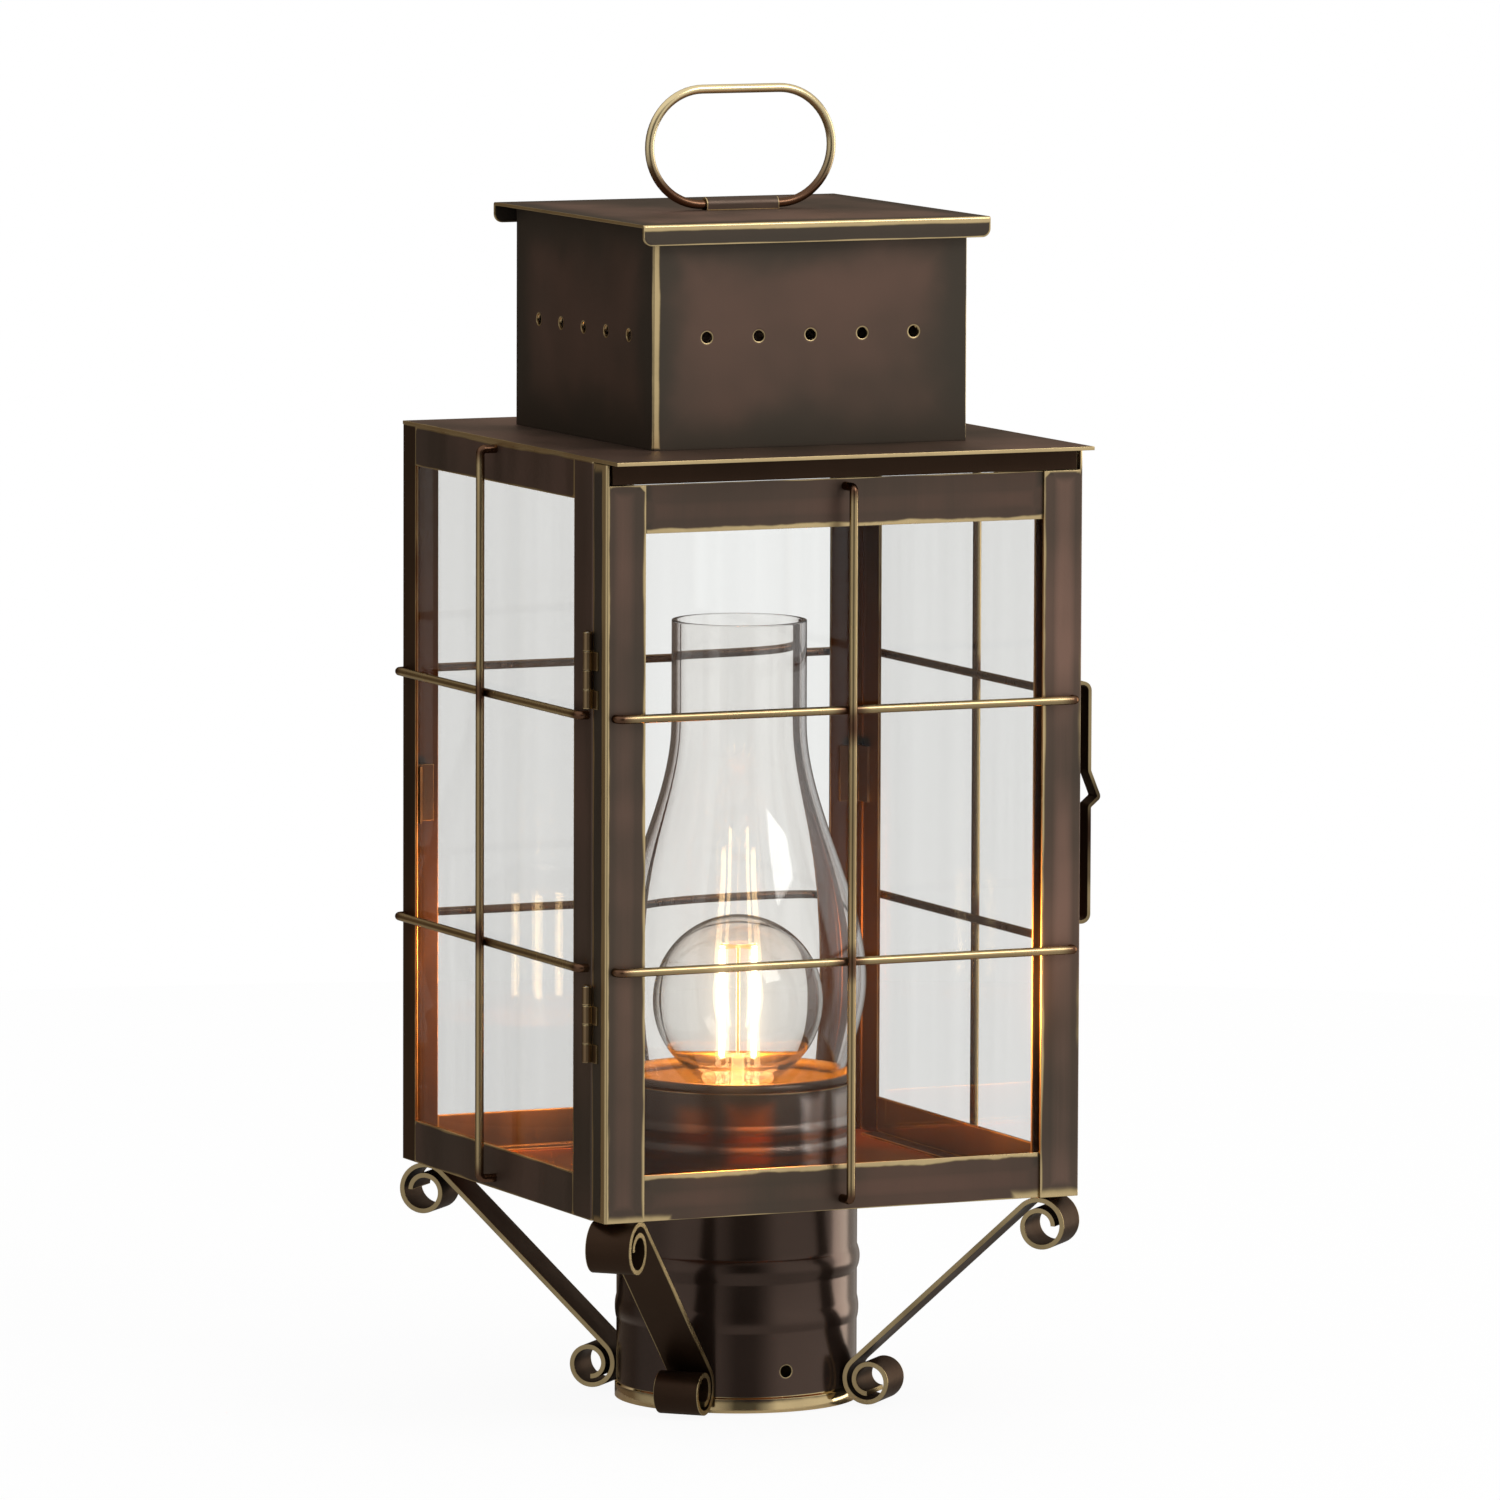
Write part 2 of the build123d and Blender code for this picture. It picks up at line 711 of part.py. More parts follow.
# ---------------------------------------------------------------- chimney glass
def chimney_side(inset):
    """The chimney's profile from foot to rim, this far inside its outer face."""
    foot = chimney_foot_radius - inset
    belly = chimney_belly_radius - inset
    neck = chimney_neck_radius - inset
    foot_z = floor_z + seat_height
    belly_z = floor_z + chimney_belly_height
    neck_z = floor_z + chimney_neck_height
    swell = (belly_z - foot_z - chimney_foot_rise) / 3
    taper = (neck_z - belly_z) / 3
    Line((foot, foot_z), (foot, foot_z + chimney_foot_rise))
    Bezier(
        (foot, foot_z + chimney_foot_rise),
        (foot + chimney_foot_flare, foot_z + chimney_foot_rise + swell),
        (belly, belly_z - swell),
        (belly, belly_z),
    )
    Bezier((belly, belly_z), (belly, belly_z + taper), (neck, neck_z - taper), (neck, neck_z))
    Line((neck, neck_z), (neck, floor_z + chimney_top_height))


def chimney_part(keep):
    """The glass below or above its middle height: one blown piece, kept as two plain rings."""
    middle = floor_z + (chimney_belly_height + chimney_neck_height) / 2
    with BuildPart() as piece:
        with BuildSketch(Plane.XZ):
            with BuildLine():
                chimney_side(0)
                chimney_side(chimney_wall)
                foot_end = (chimney_foot_radius, seat_height)
                rim_end = (chimney_neck_radius, chimney_top_height)
                for radius, height in (foot_end, rim_end):
                    Line((radius - chimney_wall, floor_z + height), (radius, floor_z + height))
            make_face()
        revolve(axis=Axis.Z)
        split(bisect_by=Plane.XY.offset(middle), keep=keep)
    return piece


save(chimney_part(Keep.BOTTOM), "chimney_glass")
save(chimney_part(Keep.TOP), "chimney_neck")


# ---------------------------------------------------------------- socket
sleeve_bore = cap_radius + cap_play
base_top = floor_top + socket_base_height
cap_z = floor_z + cap_top - cap_height
with BuildPart() as socket_body:
    with BuildSketch(Plane.XY.offset(floor_top)):
        Circle(socket_radius + socket_base_rim)
    extrude(amount=socket_base_height)
    with BuildSketch(Plane.XY.offset(base_top)):
        Circle(socket_radius)
        Circle(sleeve_bore + sleeve_wall, mode=Mode.SUBTRACT)
    extrude(amount=floor_z + socket_top - base_top)
save(socket_body, "socket_body")

with BuildPart() as screw_sleeve:
    with BuildSketch(Plane.XY.offset(base_top)):
        Circle(sleeve_bore + sleeve_wall)
        Circle(sleeve_bore, mode=Mode.SUBTRACT)
    extrude(amount=floor_z + socket_top - sleeve_setback - base_top)
save(screw_sleeve, "screw_sleeve")

with BuildPart() as centre_contact:
    with BuildSketch(Plane.XY.offset(base_top)):
        Circle(contact_radius)
    extrude(amount=cap_z - contact_gap - base_top)
save(centre_contact, "centre_contact")


# ---------------------------------------------------------------- bulb
globe_z = floor_z + globe_centre
neck_z = floor_z + cap_top
with BuildPart() as bulb_cap:
    with BuildSketch(Plane.XZ):
        with BuildLine():
            Polyline(
                (0, cap_z),
                (contact_radius, cap_z),
                (cap_radius, cap_z + cap_tip_height),
                (cap_radius, neck_z),
                (0, neck_z),
                (0, cap_z),
            )
        make_face()
    revolve(axis=Axis.Z)
save(bulb_cap, "bulb_cap")


def bulb_outline(inset):
    """A solid of the bulb's globe and neck, this far inside its outer face."""
    with BuildPart() as form:
        with BuildSketch(Plane.XZ) as half:
            with Locations((0, globe_z)):
                Circle(globe_radius - inset)
            with Locations((0, neck_z)):
                Rectangle(
                    2 * (bulb_neck_radius - inset),
                    globe_centre - cap_top,
                    align=(Align.CENTER, Align.MIN),
                )
            shoulder = half.vertices().group_by(Axis.Y)[1]
            fillet(shoulder, bulb_shoulder + inset)
            split(bisect_by=Plane.YZ)
        revolve(axis=Axis.Z)
    return form.part


with BuildPart() as bulb_glass:
    add(bulb_outline(0))
    add(bulb_outline(bulb_wall), mode=Mode.SUBTRACT)
save(bulb_glass, "bulb_glass")

filament_places = PolarLocations(filament_circle, filament_count, start_angle=filament_turn)
with BuildPart() as bulb_stem:
    with BuildSketch(Plane.XZ):
        with BuildLine():
            stem_top = floor_z + filament_bottom
            rod_top = floor_z + filament_top + filament_radius
            flare_top = neck_z + stem_flare
            Line((0, neck_z), (stem_foot_radius, neck_z))
            Bezier(
                (stem_foot_radius, neck_z),
                (stem_radius, neck_z + stem_flare / 3),
                (stem_radius, neck_z + stem_flare / 2),
                (stem_radius, flare_top),
            )
            Polyline(
                (stem_radius, flare_top),
                (stem_radius, stem_top),
                (rod_radius, stem_top),
                (rod_radius, rod_top),
                (0, rod_top),
                (0, neck_z),
            )
        make_face()
    revolve(axis=Axis.Z)
    for level in (stem_top - lead_radius, rod_top - lead_radius):
        for lead in range(filament_count):
            bearing = filament_turn + lead * 360 / filament_count
            with BuildSketch(Plane(origin=(0, 0, level), z_dir=Vector(1, 0, 0).rotate(Axis.Z, bearing))):
                Circle(lead_radius)
            extrude(amount=filament_circle + filament_radius)
save(bulb_stem, "bulb_stem")

with BuildPart() as bulb_filaments:
    with BuildSketch(Plane.XY.offset(floor_z + filament_bottom)):
        with filament_places:
            Circle(filament_radius)
    extrude(amount=rod_top - 2 * lead_radius - floor_z - filament_bottom)
save(bulb_filaments, "bulb_filaments")
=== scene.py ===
"""Post top lantern: aged brass sheet, wire guards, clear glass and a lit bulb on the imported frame."""

from functools import cache
from math import cos, pi, radians, sin

import bmesh
import bpy
from bpy.props import FloatProperty, FloatVectorProperty, IntProperty, PointerProperty
from mathutils import Matrix, Vector, geometry


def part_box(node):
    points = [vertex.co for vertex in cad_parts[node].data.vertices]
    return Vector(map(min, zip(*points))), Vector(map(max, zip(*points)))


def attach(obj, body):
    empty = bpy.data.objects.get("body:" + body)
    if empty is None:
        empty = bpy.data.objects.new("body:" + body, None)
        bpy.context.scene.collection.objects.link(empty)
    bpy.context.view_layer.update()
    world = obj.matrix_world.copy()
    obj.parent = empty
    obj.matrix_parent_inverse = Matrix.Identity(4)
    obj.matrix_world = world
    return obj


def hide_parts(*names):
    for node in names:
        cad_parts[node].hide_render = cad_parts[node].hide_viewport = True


bl_info = {
    "name": "Post top lantern",
    "version": (1, 0, 0),
    "blender": (4, 5, 0),
    "location": "3D View > Sidebar > Lantern",
    "description": "Dresses a square post top lantern in aged brass, clear glass and a lit bulb",
    "category": "Object",
}

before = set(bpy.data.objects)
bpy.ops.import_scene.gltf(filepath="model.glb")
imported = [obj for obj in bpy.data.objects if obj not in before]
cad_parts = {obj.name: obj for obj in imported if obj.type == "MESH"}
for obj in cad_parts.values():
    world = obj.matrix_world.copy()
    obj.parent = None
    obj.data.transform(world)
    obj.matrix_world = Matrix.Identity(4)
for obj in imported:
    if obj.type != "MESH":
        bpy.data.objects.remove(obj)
MM = 0.001


# ---- settings
def colour(name, text, default):
    return FloatVectorProperty(
        name=name, description=text, subtype="COLOR", size=3, min=0.0, max=1.0, default=default
    )


def share(name, text, default):
    return FloatProperty(
        name=name, description=text, subtype="FACTOR", min=0.0, max=1.0, default=default
    )


def length(name, text, default):
    return FloatProperty(name=name, description=text, unit="LENGTH", default=default)


def angle(name, text, turn):
    return FloatProperty(name=name, description=text, subtype="ANGLE", default=radians(turn))


class BrassFinish(bpy.types.PropertyGroup):
    """Colours and wear of the aged brass."""

    patina: colour("Patina", "Brown of the aged sheet", (0.138, 0.083, 0.062))
    patina_dark: colour("Dark patina", "Darker, greener tone of the sheet", (0.062, 0.052, 0.040))
    worn: colour("Worn brass", "Bare brass on rubbed edges", (0.66, 0.50, 0.26))
    wire: colour("Wire brass", "Rubbed brass of the guard wires", (0.44, 0.33, 0.17))
    # Wire patina also serves as the painted shade where the wires cross, at their feet and on their
    # inner side, and as the handle's darker lower ends.
    wire_dark: colour("Wire patina", "Brown left on the wires", (0.12, 0.062, 0.036))
    handle: colour("Handle brass", "Bright brass of the carrying handle", (0.74, 0.60, 0.34))
    strip: colour("Strip patina", "Dark brown of the scrolls", (0.042, 0.022, 0.012))
    tube: colour("Tube patina", "Dark brown of the post fitter", (0.088, 0.057, 0.044))
    # The floor's warm brass is bare sheet, pushed orange as a painted glow of the bulb.
    warm: colour("Warm brass", "Bright sheet of the floor", (0.46, 0.17, 0.06))
    roughness: share("Roughness", "Roughness of the patina", 0.42)
    wear: share("Edge wear", "How far the rub marks reach in from an edge", 0.52)
    streaks: share("Brush marks", "Strength of the brushed streaks", 0.35)


class GlassFinish(bpy.types.PropertyGroup):
    """Tints of the clear glass."""

    pane: colour("Pane", "Tint of the flat panes", (0.945, 0.95, 0.942))
    chimney: colour("Chimney", "Tint of the chimney glass", (0.972, 0.962, 0.95))
    chimney_edge: colour("Chimney edge", "Darker tone where the glass turns away", (0.42, 0.30, 0.26))
    bulb: colour("Bulb", "Tint of the bulb glass", (1.0, 0.995, 0.985))


class BulbGlow(bpy.types.PropertyGroup):
    """The lit bulb."""

    filament: colour("Filament", "Colour of the lit filaments", (1.0, 0.66, 0.30))
    filament_power: FloatProperty(
        name="Filament strength", description="Glow of the filaments", min=0.0, default=9.0
    )
    light: colour("Light", "Colour of the bulb's light", (1.0, 0.36, 0.09))
    power: FloatProperty(
        name="Light power", description="Power of the bulb's light", min=0.0, default=3.0, unit="POWER"
    )


class PieceSizes(bpy.types.PropertyGroup):
    """Sizes of the dressed pieces."""

    edge: length("Edge radius", "Softened edge of the cut sheet", 0.12 * MM)
    rub: length("Rub width", "Widest reach of the wear from an edge", 1.5 * MM)
    wire_sides: IntProperty(name="Wire sides", description="Sides of a round wire", min=8, default=16)
    turned_steps: IntProperty(
        name="Turned steps", description="Steps round turned glass", min=24, default=96
    )


class StageView(bpy.types.PropertyGroup):
    """Camera, lights and floor."""

    azimuth: angle("Azimuth", "Camera's turn to the left", 24.23)
    pitch: angle("Pitch", "Camera's look down", 6.21)
    roll: angle("Roll", "Camera's roll", 0.205)
    lens: FloatProperty(name="Lens", description="Focal length in millimetres", default=307.46)
    distance: length("Distance", "Camera to lantern", 4.241)
    side: length("Side step", "Aim beside the axis", 0.00382)
    height: length("Aim height", "Aim above the foot", 0.2157)
    floor: colour("Floor", "Pale floor", (0.94, 0.94, 0.94))


# ---- node helpers
def put(tree, kind, **settings):
    """Add a node, with its plain settings."""
    node = tree.nodes.new(kind)
    for key, value in settings.items():
        setattr(node, key, value)
    return node


def feed(tree, socket, value):
    """Link a socket into this one, or set a plain value."""
    if isinstance(value, bpy.types.NodeSocket):
        tree.links.new(value, socket)
    elif hasattr(socket.default_value, "__len__") and not hasattr(value, "__len__"):
        socket.default_value = (value,) * len(socket.default_value)
    elif hasattr(value, "__len__") and len(socket.default_value) > len(value):
        socket.default_value = (*value, 1.0)
    else:
        socket.default_value = value


def sums(tree, operation, *values, clamp=False):
    """A maths node."""
    node = put(tree, "ShaderNodeMath", operation=operation, use_clamp=clamp)
    for socket, value in zip(node.inputs, values):
        feed(tree, socket, value)
    return node.outputs[0]


def vector_sums(tree, operation, *values, result="Vector"):
    """A vector maths node."""
    node = put(tree, "ShaderNodeVectorMath", operation=operation)
    for socket, value in zip(node.inputs, values):
        feed(tree, socket, value)
    return node.outputs[result]


def apart(tree, vector):
    """The three parts of a vector."""
    node = put(tree, "ShaderNodeSeparateXYZ")
    feed(tree, node.inputs[0], vector)
    return node.outputs


def blend(tree, factor, first, second):
    """Mix two colours."""
    node = put(tree, "ShaderNodeMix", data_type="RGBA")
    feed(tree, node.inputs[0], factor)
    feed(tree, node.inputs[6], first)
    feed(tree, node.inputs[7], second)
    return node.outputs[2]


def mixed(tree, factor, first, second):
    """Mix two shaders."""
    node = put(tree, "ShaderNodeMixShader")
    for socket, value in zip(node.inputs, (factor, first, second)):
        feed(tree, socket, value)
    return node.outputs[0]


def between(tree, value, low, high, start=0.0, end=1.0):
    """Ease a value from one range into another."""
    node = put(tree, "ShaderNodeMapRange", interpolation_type="SMOOTHSTEP")
    for socket, number in zip(node.inputs, (value, low, high, start, end)):
        feed(tree, socket, number)
    return node.outputs[0]


def ramp(tree, value, stops):
    """Colours along a range from 0 to 1, given as pairs of place and colour."""
    node = put(tree, "ShaderNodeValToRGB")
    feed(tree, node.inputs[0], value)
    elements = node.color_ramp.elements
    for place, tint in stops:
        element = elements[0] if place == 0.0 else elements[-1] if place == 1.0 else elements.new(place)
        element.color = (*tint, 1.0)
    return node.outputs[0]


def on_piece(tree):
    """Where a point lies on the piece, in metres from the lantern's foot."""
    return put(tree, "ShaderNodeTexCoord").outputs["Object"]


def noise(tree, coords, scale, stretch=(1, 1, 1), detail=3.0):
    """Noise over the piece, stretched along its axes."""
    mapping = put(tree, "ShaderNodeMapping")
    feed(tree, mapping.inputs["Vector"], coords)
    mapping.inputs["Scale"].default_value = stretch
    node = put(tree, "ShaderNodeTexNoise")
    feed(tree, node.inputs["Vector"], mapping.outputs[0])
    node.inputs["Scale"].default_value = scale
    node.inputs["Detail"].default_value = detail
    return node.outputs[0]


def new_group(name, inputs, outputs):
    """A shader group with its sockets."""
    tree = bpy.data.node_groups.new(name, "ShaderNodeTree")
    for label, kind, default in inputs:
        socket = tree.interface.new_socket(name=label, in_out="INPUT", socket_type=kind)
        socket.default_value = default
    for label, kind in outputs:
        tree.interface.new_socket(name=label, in_out="OUTPUT", socket_type=kind)
    return tree, put(tree, "NodeGroupInput"), put(tree, "NodeGroupOutput")


def use_group(tree, group, **values):
    """Place a shared group, with its own values."""
    node = put(tree, "ShaderNodeGroup", node_tree=group)
    for label, value in values.items():
        feed(tree, node.inputs[label], value)
    return node


NUMBER, VECTOR = "NodeSocketFloat", "NodeSocketVector"


@cache
def patina_group():
    """Uneven brown patina with brushed streaks: a colour mask, a roughness mask and a height."""
    tree, given, result = new_group(
        "Patina",
        [("Strength", NUMBER, 0.35)],
        [("Tone", NUMBER), ("Streaks", NUMBER), ("Height", NUMBER)],
    )
    coords = on_piece(tree)
    cloud = between(tree, noise(tree, coords, 13.0), 0.30, 0.70)
    broad = between(tree, noise(tree, coords, 16.0, (3.0, 3.0, 0.5)), 0.30, 0.70)
    fine = noise(tree, coords, 260.0, (4.0, 4.0, 0.12), 2.0)
    streaks = sums(tree, "ADD", sums(tree, "MULTIPLY", broad, 0.6), sums(tree, "MULTIPLY", fine, 0.4))
    softened = sums(tree, "MULTIPLY", streaks, given.outputs["Strength"])
    tone = sums(tree, "ADD", sums(tree, "MULTIPLY", cloud, 0.65), softened, clamp=True)
    for label, value in (("Tone", tone), ("Streaks", streaks), ("Height", fine)):
        feed(tree, result.inputs[label], value)
    return tree


@cache
def wear_group():
    """Ragged rub marks that follow the edges marked on the mesh."""
    tree, given, result = new_group(
        "Edge wear",
        [("Reach", NUMBER, 0.5), ("Ragged", NUMBER, 0.45)],
        [("Mask", NUMBER)],
    )
    edge = put(tree, "ShaderNodeAttribute", attribute_name="wear").outputs["Fac"]
    slow = noise(tree, on_piece(tree), 34.0, detail=2.0)
    shift = sums(tree, "MULTIPLY", sums(tree, "SUBTRACT", slow, 0.5), given.outputs["Ragged"])
    level = sums(tree, "ADD", edge, sums(tree, "MULTIPLY", shift, 2.4))
    start = sums(tree, "SUBTRACT", 1.0, given.outputs["Reach"])
    mask = between(tree, level, start, sums(tree, "ADD", start, 0.55))
    feed(tree, result.inputs["Mask"], sums(tree, "MULTIPLY", mask, between(tree, edge, 0.0, 0.3)))
    return tree


@cache
def patch_group():
    """A patch inside a box, with soft ragged sides."""
    tree, given, result = new_group(
        "Rubbed patch",
        [
            ("Low", VECTOR, (0, 0, 0)),
            ("High", VECTOR, (0, 0, 0)),
            ("Soft", NUMBER, 0.001),
            ("Ragged", NUMBER, 1.0),
        ],
        [("Mask", NUMBER)],
    )
    coords = on_piece(tree)
    above = apart(tree, vector_sums(tree, "SUBTRACT", coords, given.outputs["Low"]))
    below = apart(tree, vector_sums(tree, "SUBTRACT", given.outputs["High"], coords))
    depth = above[0]
    for other in (*above[1:], *below):
        depth = sums(tree, "MINIMUM", depth, other)
    rough = sums(tree, "SUBTRACT", noise(tree, coords, 60.0, detail=4.0), 0.5)
    wander = sums(tree, "MULTIPLY", sums(tree, "MULTIPLY", rough, given.outputs["Ragged"]), 0.004)
    depth = sums(tree, "ADD", depth, wander)
    feed(tree, result.inputs["Mask"], between(tree, depth, 0.0, given.outputs["Soft"]))
    return tree


@cache
def panel_group():
    """How far inside its own edges a point on a box's side lies."""
    tree, given, result = new_group(
        "Panel middle",
        [
            ("Middle", VECTOR, (0, 0, 0)),
            ("Half", VECTOR, (0, 0, 0)),
            ("Rim", NUMBER, 0.02),
            ("Cloud", NUMBER, 0.03),
        ],
        [("Mask", NUMBER)],
    )
    coords = on_piece(tree)
    from_middle = vector_sums(tree, "SUBTRACT", coords, given.outputs["Middle"])
    offset = vector_sums(tree, "ABSOLUTE", from_middle)
    x, y, z = apart(tree, vector_sums(tree, "SUBTRACT", given.outputs["Half"], offset))
    # The smallest part is the depth below the surface, so the second one is the way to the edge.
    nearer = sums(tree, "MINIMUM", sums(tree, "MAXIMUM", x, y), z)
    second = sums(tree, "MAXIMUM", sums(tree, "MINIMUM", x, y), nearer)
    cloud = sums(tree, "SUBTRACT", noise(tree, coords, 30.0), 0.5)
    second = sums(tree, "ADD", second, sums(tree, "MULTIPLY", cloud, given.outputs["Cloud"]))
    feed(tree, result.inputs["Mask"], between(tree, second, 0.0, given.outputs["Rim"]))
    return tree


# ---- materials
MATERIALS = {}

# Rubbed patches on the dark sheet, in millimetres: low corner, high corner, softness, raggedness.
BOX_PATCHES = (
    ((-58.0, -58.5, 321.6), (-53.4, -55.4, 400.0), 1.1, 0.35),
    ((55.7, -58.5, 321.6), (58.0, -55.4, 400.0), 0.6, 0.2),
)
LID_PATCHES = (((-66.0, -64.0, 392.6), (66.0, -61.0, 398.0), 1.0, 0.25),)
TUBE_PATCHES = (((-60.0, -60.0, -4.0), (60.0, 60.0, 5.0), 2.4, 0.8),)
ROOF_PATCHES = (
    ((-86.0, -95.0, 319.9), (-83.9, 86.0, 321.5), 0.9, 0.5),
    ((-87.0, -95.0, 319.9), (93.0, -92.7, 321.5), 0.7, 0.3),
)
DOOR_PATCHES = (
    ((-71.0, -88.0, 294.0), (71.0, -82.0, 298.9), 1.2, 0.8),
    ((-71.0, -88.0, 86.4), (71.0, -82.0, 92.0), 1.2, 0.8),
    ((-95.0, -95.0, 60.0), (-83.5, -81.3, 330.0), 0.7, 0.25),
    ((-95.0, -95.0, 316.4), (-60.0, -75.0, 330.0), 3.4, 0.8),
    ((60.0, -95.0, 313.6), (95.0, -75.0, 330.0), 4.6, 1.0),
    ((-95.0, -95.0, 55.0), (-60.0, -75.0, 76.0), 3.0, 0.7),
    ((60.0, -95.0, 55.0), (95.0, -75.0, 77.0), 3.8, 0.8),
)
# Painted reflection: panels painted darker toward their border and lighter in the middle, in
# millimetres: middle, half size, border.
BOX_PANEL = ((0, 0, 357.6), (56.4, 56.4, 36.4), 24)
LID_PANEL = ((0, 0, 392), (62, 62, 3.2), 16)
# The door's strips: share of the patina's brightness, then the panel. The shares make lit and shaded
# copies of one patina: the right stile is painted lighter than the left.
DOOR_PANELS = (
    ("door left stile", 1.3, ((-78.5, -84.0, 194.0), (6.9, 4.0, 120.0), 7.0)),
    ("door right stile", 1.7, ((78.5, -84.0, 194.0), (6.9, 4.0, 120.0), 7.0)),
    ("door top rail", 1.05, ((0.0, -84.0, 304.0), (72.0, 4.0, 7.0), 7.0)),
    ("door bottom rail", 1.0, ((0.0, -84.0, 80.0), (72.0, 4.0, 7.0), 7.0)),
)
# Painted reflections on the spun cup, orange ones of the bulb's glow and silver-white highlights, in
# millimetres: low corner, high corner, softness, colour.
PAINTED_CUP_REFLECTIONS = (
    ((-34.0, -60.0, 86.0), (-20.0, 0.0, 103.0), 6.0, (0.24, 0.075, 0.03)),
    ((-22.0, -60.0, 78.0), (-2.0, 0.0, 105.0), 9.0, (0.60, 0.14, 0.035)),
    ((-38.0, -60.0, 66.0), (6.0, 0.0, 78.0), 5.0, (0.46, 0.14, 0.035)),
    ((4.0, -60.0, 66.0), (17.0, 0.0, 106.0), 5.0, (0.46, 0.40, 0.37)),
    ((18.0, -60.0, 66.0), (31.0, 0.0, 106.0), 5.0, (0.38, 0.34, 0.32)),
)
# The panes as seen in their frames: refraction, then middle, half size and border in millimetres. A
# painted glint whitens each pane along its border.
PANES = (
    ("Left pane", 1.45, ((-83.0, 2.0, 197.0), (4.0, 72.0, 110.0), 2.6)),
    ("Right pane", 1.45, ((83.0, 2.0, 197.0), (4.0, 72.0, 110.0), 2.6)),
    ("Back pane", 1.45, ((0.0, 83.0, 197.0), (74.0, 4.0, 110.0), 2.6)),
    ("Door pane", 1.18, ((0.0, -83.0, 192.7), (71.0, 4.0, 104.4), 2.6)),
)


def mm(values):
    """Millimetres as metres."""
    return [value * MM for value in values]


def shaded(tint, amount):
    """A colour made lighter or darker."""
    return tuple(value * amount for value in tint)


def new_material(name):
    """An empty material with its shader and its output."""
    material = bpy.data.materials.new(name)
    material.use_nodes = True
    tree = material.node_tree
    tree.nodes.clear()
    shader = put(tree, "ShaderNodeBsdfPrincipled")
    out = put(tree, "ShaderNodeOutputMaterial")
    feed(tree, out.inputs["Surface"], shader.outputs[0])
    MATERIALS[name] = material
    return tree, shader, out


def patch_mask(tree, low, high, soft, ragged):
    """Where a patch lies, from its corners and softness in millimetres."""
    patch = use_group(tree, patch_group(), Low=mm(low), High=mm(high), Soft=soft * MM, Ragged=ragged)
    return patch.outputs[0]


def panel_mask(tree, middle, half, rim, cloud=0.0):
    """How far inside a panel's border a point lies, from sizes in millimetres."""
    panel = use_group(tree, panel_group(), Middle=mm(middle), Half=mm(half), Rim=rim * MM, Cloud=cloud)
    return panel.outputs[0]


def raised(tree, low, high):
    """Rises from 0 to 1 between two heights in millimetres."""
    return between(tree, apart(tree, on_piece(tree))[2], low * MM, high * MM)


def with_cup_reflections(tree, shade):
    """Painted reflections on the cup: orange patches of the bulb's glow and silver-white highlights."""
    for low, high, soft, tint in PAINTED_CUP_REFLECTIONS:
        shade = blend(tree, patch_mask(tree, low, high, soft, ragged=1.2), shade, tint)
    return shade


